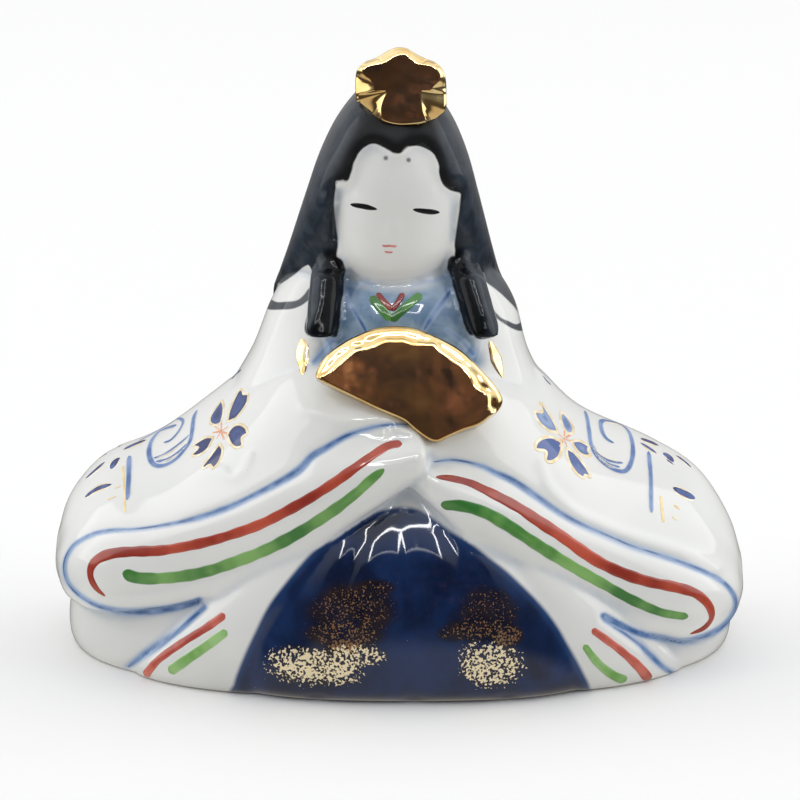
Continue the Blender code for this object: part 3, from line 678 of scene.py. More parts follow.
# %% Blue brushed under the glaze
CHEST = ("inner_collar", "robe_shell", "head")
EDGE_FOOT = SLEEVES + HEMS + ROBE
LEFT_LAPEL = [(346, 296), (350, 304), (355, 312), (361, 322), (367, 333)]
RIGHT_LAPEL = [(450, 291), (445, 299), (438, 308), (431.7, 317), (424, 330)]
BLUE_STROKES = [
    # line, then widths in pixels and strengths, both spread evenly along it, and the pieces
    (RIGHT_SLEEVE_EDGE, (12, 13, 14, 16, 13, 14, 12, 11, 11, 11, 12, 14, 15, 12),
     (0.5, 0.6, 0.75, 0.9, 0.65, 0.8, 0.52, 0.52, 0.7, 0.6, 0.6, 0.7, 0.85, 0.8), EDGE_FOOT),
    (RIGHT_HEM_FOLD, (13, 16, 18, 15), (0.8, 0.6, 0.75, 0.5), EDGE_FOOT),
    (LEFT_SLEEVE_EDGE, (10, 11, 14, 15, 14, 17, 19, 15, 13, 11, 12, 13, 14, 14, 14),
     (0.4, 0.5, 0.8, 0.75, 0.6, 0.5, 0.5, 0.55, 0.75, 0.65, 0.65, 0.75, 0.7, 0.8, 0.95), EDGE_FOOT),
    (LEFT_HEM_FOLD, (14, 16, 17, 15), (0.8, 0.5, 0.65, 0.5), EDGE_FOOT),
    (LEFT_LAPEL, (12, 12), (0.5, 0.6), CHEST),
    (RIGHT_LAPEL, (14, 13), (0.7, 0.6), CHEST),
    ([(447, 330), (458, 338), (466, 346), (473, 354)], (12, 12), (0.6, 0.8), CHEST),
    ([(340, 334), (330, 343), (321, 354), (314, 362)], (13, 12), (0.7, 0.8), CHEST),
    ([(347, 282), (357, 284), (367, 282), (376, 287)], (15, 12), (0.55, 0.4), CHEST),
    ([(411, 286), (424, 282), (437, 280), (446, 276)], (12, 14), (0.35, 0.5), CHEST),
]


BRUSH_STEP, SOFT_MIDDLE = 4.0, 0.95


def brushed(line, widths, strengths, names):
    """How strongly a stroke of blue shows at each point of the skin."""
    curve = evenly(smooth_line(line, LINE_STEPS), BRUSH_STEP)
    needed = owned_by(names) & (facing > 0)
    pixels = skin_pixels[needed]
    nearest, place = np.full(len(pixels), FARTHEST), np.zeros(len(pixels))
    for k, (a, b) in enumerate(zip(curve, curve[1:])):
        side = b - a
        along = np.clip((pixels - a) @ side / (side @ side), 0, 1)
        away = np.linalg.norm(pixels - a - along[:, None] * side, axis=1)
        closer = away < nearest
        nearest[closer] = away[closer]
        place[closer] = (k + along[closer]) / (len(curve) - 1)
    half = np.interp(place, np.linspace(0, 1, len(widths)), widths) / 2
    strength = np.interp(place, np.linspace(0, 1, len(strengths)), strengths)
    shown = np.zeros(len(skin_points))
    shown[needed] = strength * ease(1 - nearest / half, 0, SOFT_MIDDLE)
    return shown


blue_region = np.zeros(len(skin_points))
for line, widths, strengths, names in BLUE_STROKES:
    blue_region = np.maximum(blue_region, brushed(line, widths, strengths, names))
print("blue strokes cover", int((blue_region > 0).sum()), "points")

# %% [markdown]
# ## The skirt and its gold dust
#
# The skirt is dipped or brushed with so much cobalt that it fires nearly black where it is thick
# and clear blue where it thins at the edge. Gold and bronze dust is then dabbed on with a sponge,
# which leaves clouds of small grains. Grains as separate meshes would be tens of thousands of
# pieces. Here a number says how thick each cloud lies, and the shader cuts fine noise by it.

# %% The blue skirt at the front
SKIRT_OUTLINE = [
    (232, 720), (236, 686), (246, 658), (258, 632), (268, 612), (280, 594), (310, 558), (332, 540),
    (350, 526),
    (372, 516), (390, 511), (405, 509), (420, 513), (435, 523), (450, 534), (470, 546), (488, 560),
    (505, 573),
    (521, 588), (534, 601), (546, 615), (556, 629), (564, 643), (572, 657), (580, 672), (588, 690),
    (594, 720),
    (420, 740),
]
SKIRT_DEPTH, SKIRT_TOP = (8 * MM, 12 * MM), (-31 * MM, -28 * MM)
SKIRT_FAR, BACK_FAR, SLEEVE_GAP = -8, 6, 0.4
low_front = ease(-skin_points[:, 1], *SKIRT_DEPTH) * ease(-skin_points[:, 2], *SKIRT_TOP)
skirt_drawn = drawn_region(smooth_line(SKIRT_OUTLINE, LINE_STEPS, closed=True), low_front > 0)
skirt_region = np.maximum(skirt_drawn, SKIRT_FAR) * low_front - (1 - low_front) * BACK_FAR
from_sleeves = distance_to(SLEEVES, low_front > 0) - distance_to(SKIRT + HEMS, low_front > 0)
skirt_region = np.minimum(skirt_region, from_sleeves - SLEEVE_GAP)
print("skirt covers", int((skirt_region > 0).sum()), "points")

# %% Gold dust on the skirt, and where the glaze pools, with painted shade in the creases
DUST_PATCHES = [
    ((316, 667), (58, 22), 1.0), ((352, 656), (42, 15), 0.9), ((292, 656), (32, 14), 0.85), ((335, 677),
    (38, 11), 0.8),
    ((491, 665), (39, 28), 1.0), ((476, 652), (24, 14), 0.7),
]
BRONZE_PATCHES = [
    ((352, 610), (50, 30), 0.66), ((345, 634), (44, 18), 0.72), ((345, 646), (22, 9), 1.0), ((375, 588),
    (24, 10), 0.6),
    ((490, 612), (34, 32), 0.55), ((480, 630), (42, 14), 0.7), ((507, 636), (18, 13), 0.9), ((452, 634),
    (18, 10), 0.5),
]


DAB_FADE, DUST_INSET = (-1.2, -0.5), (0.5, 2)


def dust(patches):
    """How thickly gold dust lies: 1 in the middle of each dabbed patch, fading outwards."""
    amount = np.zeros(len(skin_points))
    for centre, radii, most in patches:
        off = np.linalg.norm((skin_pixels - np.array(centre)) / np.array(radii), axis=1)
        amount = np.maximum(amount, most * ease(-off, *DAB_FADE))
    return amount * low_front * ease(skirt_region, *DUST_INSET)


gold_dust = dust(DUST_PATCHES)
bronze_dust = dust(BRONZE_PATCHES)

# Hollows get a blue-grey tint: partly the glaze pooling there, and partly painted shade in the creases.
POOL_BLUR, POOL_PER_MM = 24, 5
hollow = np.einsum("ij,ij->i", blurred(skin_points, POOL_BLUR) - skin_points, skin_normals) / MM
glaze_pool_and_shade = np.clip(hollow * POOL_PER_MM, 0, 1)
print("deepest crease rises", round(float(hollow.max()), 2), "mm when smoothed")

REGIONS = {
    "blue": blue_region, "wash": wash_region, "skirt": skirt_region,
    "hair": hair_region, "band": band_black_and_shade, "matt": matt_region,
    "dust": gold_dust, "bronze": bronze_dust, "glaze_pool_and_shade": glaze_pool_and_shade,
}


# %% [markdown]
# ## Brush strokes
#
# A stroke is a thin ribbon of colour that lies on the glaze. Its middle line is found by sending
# camera rays through points of the photograph. Its width is then laid out across the surface in
# real millimetres. Enamel stands a few hundredths of a millimetre proud, which gives each stroke
# its own small highlight. Painting into the skin's own points would blur a line this thin.

# %% Touching the skin
skin_tree = BVHTree.FromPolygons(skin_points.tolist(), skin_faces.tolist())
part_trees = {}


def part_tree(names):
    """A search tree over the skin of some pieces."""
    if names not in part_trees:
        faces = skin_faces[np.isin(face_owner, [glazed.index(name) for name in names])]
        used, renumbered = np.unique(faces, return_inverse=True)
        corners = renumbered.reshape(faces.shape).tolist()
        part_trees[names] = BVHTree.FromPolygons(skin_points[used].tolist(), corners)
    return part_trees[names]


def touch(points):
    """The nearest places on the skin, the normals there, and their corners with weights."""
    places, corners = [], []
    for point in points:
        place, _, face, _ = skin_tree.find_nearest(point)
        places.append(place)
        corners.append(skin_faces[face])
    places, corners = np.array(places), np.array(corners)
    near = 1 / (np.linalg.norm(skin_points[corners] - places[:, None], axis=2) + WELD)
    weights = near / near.sum(axis=1, keepdims=True)
    normals = np.einsum("pk,pkc->pc", weights, skin_normals[corners])
    normals /= np.linalg.norm(normals, axis=1, keepdims=True)
    return places, normals, corners, weights


def landing(pixels, names):
    """Where camera rays through the pixels land on the skin of some pieces."""
    tree = part_tree(names)
    reach, places = CAMERA_DISTANCE, []
    for pixel in pixels:
        ray = picture_ray(pixel)
        place, _, _, distance = tree.ray_cast(camera_place, ray)
        if place is None:
            place = tree.find_nearest(camera_place + ray * reach)[0]
        else:
            reach = distance
        places.append(place)
    return np.array(places)


# %% Laying paint
ACROSS = np.linspace(-1, 1, 9)
STROKE_STEP = 0.22 * MM
UNDERGLAZE_LIFT = 0.018 * MM
LINE_SPACING, FILL_SPACING = 1.5, 0.9
HAND_WOBBLE = 0.035
LONG_WAVE, SHORT_WAVE = 1.1 * MM, 0.43 * MM
SMOOTHINGS = 3
BLUNT = 0.02
paints = {}


def lay(paint, points, faces, across, along, corners, weights, normals):
    """Adds one patch of colour to the patches of its paint."""
    one, two, three = (points[faces[:, k]] for k in (0, 1, 2))
    outward = np.einsum("fc,fc->f", np.cross(two - one, three - one), normals[faces[:, 0]])
    if outward.sum() < 0:
        faces = faces[:, ::-1]
    paints.setdefault(paint, []).append((points, faces, across, along, corners, weights, normals))


def brush_stroke(paint, pixels, width, names, height=0.0, tips=None, closed=False):
    """One stroke of a paint.

    Width is in pixels, either one or several along the line. Height and the two tips are in metres.
    """
    line = evenly(smooth_line(pixels, closed=closed), LINE_SPACING)
    if closed:
        line = np.vstack([line, line[:1]])
    middle = landing(line, names)
    for _ in range(SMOOTHINGS):
        middle[1:-1] = (middle[:-2] + 2 * middle[1:-1] + middle[2:]) / 4
    middle = evenly(middle, STROKE_STEP)
    middle, up, _, _ = touch(middle)
    forward = np.gradient(middle, axis=0)
    aside = np.cross(up, forward)
    aside /= np.maximum(np.linalg.norm(aside, axis=1, keepdims=True), TINY)
    run = np.concatenate([[0], np.cumsum(np.linalg.norm(np.diff(middle, axis=0), axis=1))])
    widths = np.atleast_1d(width) / PIXELS_PER_MM * MM
    half = np.interp(run / run[-1], np.linspace(0, 1, len(widths)), widths) / 2
    half *= 1 + HAND_WOBBLE * (np.sin(run / LONG_WAVE) + np.sin(run / SHORT_WAVE + 2))
    first, last = tips or (half[0], half[-1])
    swell = np.ones(len(run))
    for away, tip in ((run, first), (run[-1] - run, last)):
        near = np.clip(away / tip, BLUNT, 1)
        swell *= np.sqrt(1 - (1 - near) ** 2)
    if closed:
        swell[:] = 1
    rows = middle[:, None] + aside[:, None] * (half * swell)[:, None, None] * ACROSS[None, :, None]
    places, normals, corners, weights = touch(rows.reshape(-1, 3))
    across = np.tile(ACROSS, len(run))
    dome = np.sqrt(np.maximum(1 - across**2, 0)) * np.repeat(swell, len(ACROSS))
    rise = UNDERGLAZE_LIFT + height * dome
    if height:
        rise = rise - 2 * UNDERGLAZE_LIFT * (np.abs(across) == 1)
    points = places + normals * rise[:, None]
    n = len(ACROSS)
    row, column = np.meshgrid(np.arange(len(run) - 1), np.arange(n - 1), indexing="ij")
    a = (row * n + column).ravel()
    faces = np.stack([a, a + n, a + n + 1, a + 1], axis=1)
    lay(paint, points, faces, across, np.repeat(run, n) / MM, corners, weights, normals)
    return run[-1]


RINGS = 5


def colour_patch(paint, pixels, names, height=0.0):
    """A filled patch of a paint inside a closed outline."""
    outline = evenly(np.vstack([pixels, pixels[:1]]), FILL_SPACING)[:-1]
    centre = outline.mean(axis=0)
    shares = np.arange(RINGS + 1) / RINGS
    pixels = centre + (outline - centre) * shares[:, None, None]
    places, normals, corners, weights = touch(landing(pixels.reshape(-1, 2), names))
    across = np.repeat(shares, len(outline))
    rise = UNDERGLAZE_LIFT + height * (1 - across**4)
    points = places + normals * rise[:, None]
    n = len(outline)
    ring, spoke = np.meshgrid(np.arange(RINGS), np.arange(n), indexing="ij")
    a, b = (ring * n + spoke).ravel(), (ring * n + (spoke + 1) % n).ravel()
    faces = np.stack([a, a + n, b + n, b], axis=1)
    lay(paint, points, faces, across, np.zeros(len(points)), corners, weights, normals)


# %% The blue line in the folds and on the collar
BLUE_CORES = [
    # line, widths in pixels, and the pieces
    (RIGHT_SLEEVE_EDGE, (3.5, 4.5, 6.5, 10, 6, 8, 4, 3.6, 6.4, 5.6, 5.4, 7, 9, 7), EDGE_FOOT),
    ([(200, 612), (190, 620), (180, 629), (162, 642.5), (144, 655), (128, 667)], (8, 7, 9, 7), EDGE_FOOT),
    (LEFT_SLEEVE_EDGE, (3, 4, 8, 8, 6, 4, 3.6, 4.4, 8, 6, 6, 7, 6, 8, 10), EDGE_FOOT),
    ([(613, 627), (622, 632), (637, 643), (651, 656), (665, 669), (678, 676)], (5, 6, 8, 7), EDGE_FOOT),
    (LEFT_LAPEL, (5, 5.4, 6), CHEST),
    (RIGHT_LAPEL, (7, 6.4, 6), CHEST),
]
CORE_TIPS = (1.5 * MM, 1.5 * MM)
for pixels, width, names in BLUE_CORES:
    brush_stroke("underglaze_blue", pixels, width, names, tips=CORE_TIPS)

# %% Bands on the sleeves and hems
RIGHT_SLEEVE = ("right_sleeve",)
LEFT_SLEEVE = ("left_sleeve",)
RIGHT_UPPER = ROBE + RIGHT_SLEEVE
LEFT_UPPER = ROBE + LEFT_SLEEVE
RIGHT_HEM = ("right_hem",) + RIGHT_UPPER + SKIRT
LEFT_HEM = ("left_hem",) + LEFT_UPPER + SKIRT
ENAMEL_HEIGHT = 0.06 * MM

RED_BANDS = [
    # line, widths in pixels, pieces, and the length of each tip where it isn't half the width
    ([(402, 443.5), (388, 446), (373, 455), (354.6, 468), (335, 482), (310, 498), (285, 512), (260, 524.5),
      (235, 533.5), (210, 541), (185, 546.5), (160, 550.5), (135, 551.5), (115, 553), (100, 557.5),
      (91.5, 566), (90.5, 577),
      (96, 588), (105, 596)], (9.6, 10.6, 10.8, 10.4, 10.8, 11.5, 10), RIGHT_SLEEVE, None, 4 * MM),
    ([(436, 477), (452, 478.5), (470, 483), (485, 490), (500, 497.5), (520, 508.5), (540, 522), (560, 535),
      (580, 549.5), (600, 562.5), (625, 574), (650, 582), (675, 587), (695, 593), (708, 604), (712, 617),
      (704, 628),
      (690, 634)], (7, 11, 13.4, 13, 12.4, 11.6, 10.6, 7), LEFT_SLEEVE, 2 * MM, 4 * MM),
]
GREEN_BANDS = [
    ([(384, 469), (370, 480.5), (357, 492.5), (335, 509.5), (310, 526), (285, 540.5), (260, 552.5),
      (235, 562), (210, 570.5), (185, 576), (160, 578.5), (138, 578),
      (122.6, 573)], (9, 13, 14, 13.6, 14, 14), RIGHT_SLEEVE,
     1.5 * MM, None),
    ([(441, 505.5), (462, 506), (485, 512.5), (507.5, 525), (530, 540), (555, 556), (580, 571), (605, 585),
      (630, 599), (660, 612), (688, 617)], (12, 14, 13, 12, 11.4, 9), LEFT_SLEEVE, None, 1 * MM),
]
THIN_RED_BANDS = [
    ([(225, 614.5), (205, 628.5), (181.6, 643), (158, 660), (144, 677)], (8.8, 8.4, 10),
    RIGHT_HEM, None, 1 * MM),
    ([(592, 629.5), (617, 647.5), (637, 665), (651, 682)], (7.6, 9, 12), LEFT_HEM, None, 1 * MM),
]
THIN_GREEN_BANDS = [
    ([(227, 631), (205, 647), (186, 660), (169, 672)], (10, 11.6, 12), RIGHT_HEM, None, None),
    ([(584, 645), (597, 662), (612, 674.5), (626, 681)], (7.6, 10, 12), LEFT_HEM, None, None),
]
for paint, bands in (
    ("red_enamel", RED_BANDS), ("green_enamel", GREEN_BANDS),
    ("thin_red_enamel", THIN_RED_BANDS), ("thin_green_enamel", THIN_GREEN_BANDS),
):
    for pixels, width, names, first, last in bands:
        round_tips = width[0] / PIXELS_PER_MM * MM / 2, width[-1] / PIXELS_PER_MM * MM / 2
        tips = (first or round_tips[0], last or round_tips[1])
        brush_stroke(paint, pixels, width, names, ENAMEL_HEIGHT, tips)
print("bands laid:", {paint: len(patches) for paint, patches in paints.items()})

# %% [markdown]
# ## Collar and face
#
# The collar's crossed edges are four short enamel strokes. The face has two narrow eyes, a mouth of
# two touches of red, and two soft dots for the brows, painted high on the forehead as court ladies
# wore them. They are strokes of the same brush, finer and flatter.

# %% Collar
GREEN_V = [[(370.5, 296.5), (380, 307), (391, 320)], [(391, 321), (401, 311), (411, 302.5), (421.5, 294)]]
RED_V = [[(377, 293), (384, 301.5), (391.6, 310)], [(391.6, 310.5), (398, 302), (403.5, 293)]]
for pixels in GREEN_V:
    brush_stroke("dark_green_enamel", pixels, 9.6, CHEST, ENAMEL_HEIGHT)
for pixels in RED_V:
    brush_stroke("dark_red_enamel", pixels, 6, CHEST, ENAMEL_HEIGHT * 1.3)

# %% Face
FINE_HEIGHT = 0.03 * MM
FACE_STROKES = [
    # paint, line, width in pixels, and the lengths of its tips
    ("black_enamel", [(350.5, 204.5), (363, 206.3), (377, 209.3)], 5.4, (1.5 * MM, 1.7 * MM)),
    ("black_enamel", [(413, 209.5), (426, 211.4), (439.6, 212.4)], 5.4, (1.7 * MM, 1.5 * MM)),
    ("lip_red", [(382, 245.4), (386, 246.3), (389.5, 245.4), (393, 246.4), (397, 246)], 3.0, None),
    ("lip_red", [(384.3, 251.4), (388.6, 252.4), (393, 252)], 2.6, None),
]
for paint, pixels, width, tips in FACE_STROKES:
    brush_stroke(paint, pixels, width, HEAD, FINE_HEIGHT, tips)
BROWS, DOT_RADIUS, DOT_SIDES = ((385.8, 158), (408.6, 160)), 3.4, 16
for pixel in BROWS:
    turns = np.linspace(0, 2 * math.pi, DOT_SIDES + 1)[:-1]
    around = np.array(pixel) + DOT_RADIUS * np.stack([np.cos(turns), np.sin(turns)], axis=1)
    colour_patch("soft_grey", around, HEAD)
print("face strokes:", len(FACE_STROKES), "and", len(BROWS), "brows")


# %% [markdown]
# ## Cherry blossoms and water swirls
#
# Each sleeve carries cherry blossoms and a swirl of water, both common motifs. The petals are
# underglaze blue with a raised gold outline that follows the notch at the tip. They are drawn as
# closed outlines and projected, because the sleeve turns away under them and a flat stamp of one
# petal would not foreshorten as the painted ones do.

# %% Petals with gold outlines
GOLD_HEIGHT = 0.05 * MM
RIGHT_PETALS = [
    [(227.5, 422), (229, 412), (233, 402), (236.5, 394.5), (240, 389), (242.5, 388.5), (243, 395),
    (248.5, 392.5),
     (247.8, 402), (242, 411), (236, 418.5)],
    [(221.5, 400.5), (216.5, 407), (211, 415), (209, 421), (211, 424.8), (216, 425.5), (220.5, 423.5),
    (223.3, 415),
     (224, 408), (223, 403)],
    [(227, 435), (231, 428), (237, 424), (243, 424.8), (247, 429), (248, 434), (240.8, 437), (243.5, 445.5),
     (239, 447.8), (235, 448), (230, 443.5)],
    [(219.5, 444), (214, 451), (208, 459), (201.5, 467), (203, 469.3), (211, 463.5), (212, 470), (218, 464),
     (222, 456), (223, 449)],
    [(213.5, 437.5), (207, 436.7), (200, 440.5), (195.5, 443.5), (191.5, 446.8), (200, 447), (190.5, 455.6),
     (196, 456.3), (202, 453.7), (208, 449)],
]
LEFT_PETALS = [
    [(557.8, 432.5), (549, 431), (540.6, 424.4), (535.6, 416.7), (534, 410.5), (543, 413), (539, 400.8),
     (545, 407.8), (550.6, 416.7), (555.6, 425.6)],
    [(561, 412), (565, 414), (569.5, 420), (573.5, 427), (573.5, 433), (569.5, 434.5), (566, 432),
    (562.8, 426.7),
     (560, 418)],
    [(561.7, 443), (557, 438.9), (549.4, 436.3), (541.7, 438), (536.3, 442), (534.3, 449.5), (547, 451),
    (544.8, 460),
     (548, 462.5), (554, 461.5), (559.4, 456.7), (561.8, 449)],
    [(571.5, 441.3), (578.3, 440), (586, 443.9), (590.5, 447.5), (587, 450.5), (592, 455.4), (586, 456.7),
     (579.4, 453.3), (574, 446.7)],
    [(566.5, 448), (573.9, 452.2), (580.6, 460), (587.2, 468.9), (592, 478.5), (584.3, 474), (585.3, 479.3),
     (577.2, 474.4), (570.6, 465.6), (566.7, 455.6)],
]
RIM_SPACING = 3
for petals, names, fill, width in (
    (RIGHT_PETALS, RIGHT_UPPER, "petal_blue", 3.4), (LEFT_PETALS, LEFT_UPPER, "petal_wash", 4.2),
):
    for outline in petals:
        colour_patch(fill, np.array(outline), names)
        rim = evenly(np.array(outline + outline[:1]), RIM_SPACING)[:-1]
        brush_stroke("gold_line", rim, width, names, GOLD_HEIGHT, closed=True)

# %% Blossoms near the edge of the sleeves, seen at a slant
RIGHT_LEAVES = [
    ([(118.6, 447), (125, 441.5), (131.4, 438.6)], 4), ([(123.6, 449.6), (134, 444.5), (146, 440)], 5),
    ([(120, 458), (115.5, 461), (111.5, 469)], 7), ([(97, 460.7), (102, 456.5), (107, 453.6)], 2.6),
    ([(85.7, 478.6), (95, 470.5), (105, 462)], 4), ([(85, 497), (97, 489), (111.4, 484.5)], 4.5),
]
LEFT_LEAVES = [
    ([(640.7, 438.8), (649, 441.5), (658.6, 445.5)], 5), ([(647, 433), (656, 437), (664.3, 442.6)], 3.5),
    ([(663, 454), (668, 456), (673, 462)], 8), ([(675.7, 447), (679, 450), (682.9, 453)], 3),
    ([(676, 455.5), (684, 461), (691, 467.5)], 3.8), ([(673, 488), (683, 493), (695, 498)], 7),
]
RIGHT_GOLD_DASHES = [
    ([(107, 500), (116.5, 496.4)], 2.2), ([(114.3, 488.4), (121.4, 486)], 2), ([(123, 466), (124.3, 490),
      (125.3, 513)], 3),
]
LEFT_GOLD_DASHES = [
    ([(660.7, 496), (662, 510), (663.6, 523)], 4.2), ([(673.5, 505), (680, 509.3)], 3.6), ([(672, 516.5),
      (678, 520)], 2.8),
]
SINGLE_LEAVES = [
    ([(232, 379), (236, 374), (241, 370)], RIGHT_UPPER), ([(543, 376), (546, 380), (551, 385)], LEFT_UPPER),
]
LEAF_FULLNESS, LEAF_RIM, LEAF_BODY = 1.5, 3.6, 0.8
LEAF_TIPS, SHORT_TIPS = (1.2 * MM, 1.2 * MM), (1 * MM, 1 * MM)
for leaves, dashes, names in (
    (RIGHT_LEAVES, RIGHT_GOLD_DASHES, RIGHT_SLEEVE), (LEFT_LEAVES, LEFT_GOLD_DASHES, LEFT_SLEEVE),
):
    for pixels, width in leaves:
        full = width * LEAF_FULLNESS
        brush_stroke("gold_line", pixels, full + LEAF_RIM, names, GOLD_HEIGHT / 3, LEAF_TIPS)
        brush_stroke("petal_blue", pixels, full + LEAF_BODY, names, GOLD_HEIGHT / 2, LEAF_TIPS)
    for pixels, width in dashes:
        brush_stroke("dash_gold", pixels, width, names, GOLD_HEIGHT / 2)
for pixels, names in SINGLE_LEAVES:
    brush_stroke("petal_blue", pixels, 4, names, GOLD_HEIGHT / 2, SHORT_TIPS)

# %% Swirls
RIGHT_SWIRL = [
    ([(176.4, 425.4), (167, 427.9), (158.6, 432), (152, 440), (149.2, 448.6), (149.6, 457), (152.5, 463.3),
      (157.5, 466), (165.7, 465), (175.7, 459.3), (184.3, 450), (190, 441.4), (192.2, 431.4),
      (192.9, 424.3),
      (194.3, 415.7), (197, 410)], 5.5),
    ([(163.6, 442.4), (170, 440.7), (177, 433.6), (182, 425.7), (183.5, 420.7), (179.5, 418.5),
      (170, 419.5),
      (155.7, 424.3), (141.4, 432.9), (137, 436.4)], 3),
    ([(152, 458.6), (161.4, 455.7), (172.9, 448.6), (182.9, 440.7), (190, 434.3)], 2.2),
    ([(155.7, 461.5), (167, 459.7), (178.6, 452), (188, 442.9)], 4),
    ([(129.3, 455.7), (128.6, 480), (127.3, 500)], 5.5),
]
LEFT_SWIRL = [
    ([(614, 443), (607, 439.3), (602.5, 432.9), (600.7, 425.7), (601.6, 420.3), (611.4, 421.4),
      (621.4, 425),
      (628.6, 431.4), (632, 441.4), (632.9, 451.4), (631.4, 461.4), (627, 470), (621.4, 471.6),
      (611.4, 468.6),
      (601.4, 461.4), (594.3, 452.9), (590.6, 443), (589, 431), (587.2, 419), (585, 411)], 4.8),
    ([(592, 444), (597, 452), (605, 458.9), (614, 462), (623, 462.9)], 2.6),
    ([(594, 450), (600.6, 458), (610, 465), (620, 467)], 4),
    ([(648.6, 451.4), (650.7, 477), (650.9, 500), (651.4, 513)], 4.8),
]
RIGHT_RIPPLES = [
    ([(157, 457.8), (171, 452.2), (184, 441.8)], 1.5), ([(160, 463), (171, 458.3), (179, 453)], 1.6),
]
LEFT_RIPPLES = [
    ([(593, 447), (604.3, 457), (618.6, 462)], 1.5), ([(605.7, 422.3), (618.6, 424.6), (627, 431)], 1.4),
    ([(598, 457), (608, 464.5), (616, 467.5)], 1.4),
]
SWIRL_SPREAD = 2.5
for strokes, ripples, names in (
    (RIGHT_SWIRL, RIGHT_RIPPLES, RIGHT_SLEEVE), (LEFT_SWIRL, LEFT_RIPPLES, LEFT_SLEEVE),
):
    for pixels, width in strokes:
        brush_stroke("swirl_blue", pixels, width + SWIRL_SPREAD, names, tips=LEAF_TIPS)
    for pixels, width in ripples:
        brush_stroke("gold_line", pixels, width, names, GOLD_HEIGHT / 2, SHORT_TIPS)

# %% Gold drops beside the fan and pistils
GOLD_DROPS = [
    # line, widths in pixels, pieces, and the lengths of its tips
    ([(302, 339), (302.4, 352), (303, 375)], (11, 15, 13, 9, 6), RIGHT_UPPER, (1.5 * MM, 1 * MM)),
    ([(489.5, 341), (494.5, 354), (502.5, 378)], (6, 11, 15, 12, 6), LEFT_UPPER, (1 * MM, 1.5 * MM)),
]
for pixels, width, names, tips in GOLD_DROPS:
    brush_stroke("drop_gold", pixels, width, names, GOLD_HEIGHT * 3, tips)
BLOSSOM_HEARTS = (((221, 431.5), RIGHT_SLEEVE), ((564, 439), LEFT_SLEEVE))
STAMENS, FIRST_TURN, STAMEN_FROM, STAMEN_TO = 7, 0.3, 1.5, 9
for (x, y), names in BLOSSOM_HEARTS:
    brush_stroke("pistil_gold", [(x - 1, y - 1), (x + 1, y + 1)], 5, names, GOLD_HEIGHT)
    for turn in np.linspace(FIRST_TURN, FIRST_TURN + 2 * math.pi, STAMENS + 1)[:-1]:
        ends = [(x + r * math.cos(turn), y + r * math.sin(turn)) for r in (STAMEN_FROM, STAMEN_TO)]
        brush_stroke("pistil_gold", ends, 2.4, names, GOLD_HEIGHT / 2)
print("patches:", {paint: len(patches) for paint, patches in paints.items()})

# %% [markdown]
# ## Materials
#
# Porcelain is a dense white clay under clear glass: a dielectric with an IOR of about 1.5 and a
# very low roughness. Each colour under the glaze keeps the glaze's gloss. Enamels are coloured
# glass of their own, and the gold is a metal film that was never polished, so it mirrors the room.

# %% Colours and one helper for nodes
def srgb(text):
    """An sRGB hex colour as linear RGBA."""
    values = [int(text[i:i + 2], 16) / 255 for i in (1, 3, 5)]
    return tuple(v / 12.92 if v <= 0.04045 else ((v + 0.055) / 1.055) ** 2.4 for v in values) + (1.0,)


def add_node(tree, kind, inputs=None, output=None, **settings):
    """One shader node with its settings and links. It gives the output named, or else the first in use."""
    made = tree.nodes.new("ShaderNode" + kind)
    for field, value in settings.items():
        setattr(made, field, value)
    for name, value in (inputs or {}).items():
        socket = next(s for place, s in enumerate(made.inputs) if s.enabled and name in (place, s.name))
        if isinstance(value, bpy.types.NodeSocket):
            tree.links.new(value, socket)
        else:
            socket.default_value = value
    return next((s for s in made.outputs if s.enabled and output in (None, s.name)), made)


def new_tree(name):
    """A material with an empty node tree."""
    material = bpy.data.materials.new(name)
    material.use_nodes = True
    material.node_tree.nodes.clear()
    return material, material.node_tree


# %% Glazed porcelain with its painted regions
PER_MM = 1 / MM
GLAZE_IOR = 1.5
GLAZE_ROUGHNESS = 0.06
CLOUD_MM, RIPPLE_MM, RIPPLE_DEPTH = 14.0, 3.0, 0.02 * MM
SMOOTH = {"interpolation_type": "SMOOTHSTEP"}
CLOUD_LIMITS = {"From Min": 0.35, "From Max": 0.65}
GRAIN_LIMITS = {"From Min": 0.3, "From Max": 0.7}
LOAD_LIMITS = {"From Min": 0.35, "From Max": 0.62}
BAND_LIMITS = {"From Min": -0.9, "From Max": 0.7}
GRAIN_EDGE = 0.02
DUST_LIMITS = {"To Min": 0.8, "To Max": 0.47}
WHITES = ("#dcddda", "#e1e1df")
LAYERS = [
    # number on the skin: where the layer starts and is full, how much it covers, grain in mm, colours
    # blue-grey in the hollows: pooled glaze, and partly painted shade
    ("glaze_pool_and_shade", (0.0, 1.0), 0.5, 9.0, ("#b3bfce", "#bcc5d0")),
    ("wash", (-1.2, 0.9), 1.0, 3.0, ("#5f7d9f", "#8fa6bd")),
    ("blue", (0.03, 0.7), 0.9, 5.0, ("#8ba5c9", "#aabeda")),
    ("blue", (0.35, 1.0), 0.9, 5.0, ("#466a9c", "#6587b5")),
    ("skirt", (-0.7, 0.0), 1.0, 9.0, ("#213c68", "#2b4c7c")),
    ("skirt", (-0.4, 0.9), 1.0, 7.0, ("#0b1934", "#172f5a")),
    ("bronze", (0.02, 0.55), 0.75, 3.0, ("#0f0e10", "#2b2019")),
    ("dust", (0.3, 1.0), 0.5, 2.0, ("#17120f", "#3a2819")),
    # Hair tones: black enamel made slate-grey, partly painted sheen for the bright room its glaze mirrors.
    ("hair", (-0.12, 0.12), 1.0, 2.2, ("#222831", "#323a43")),
]
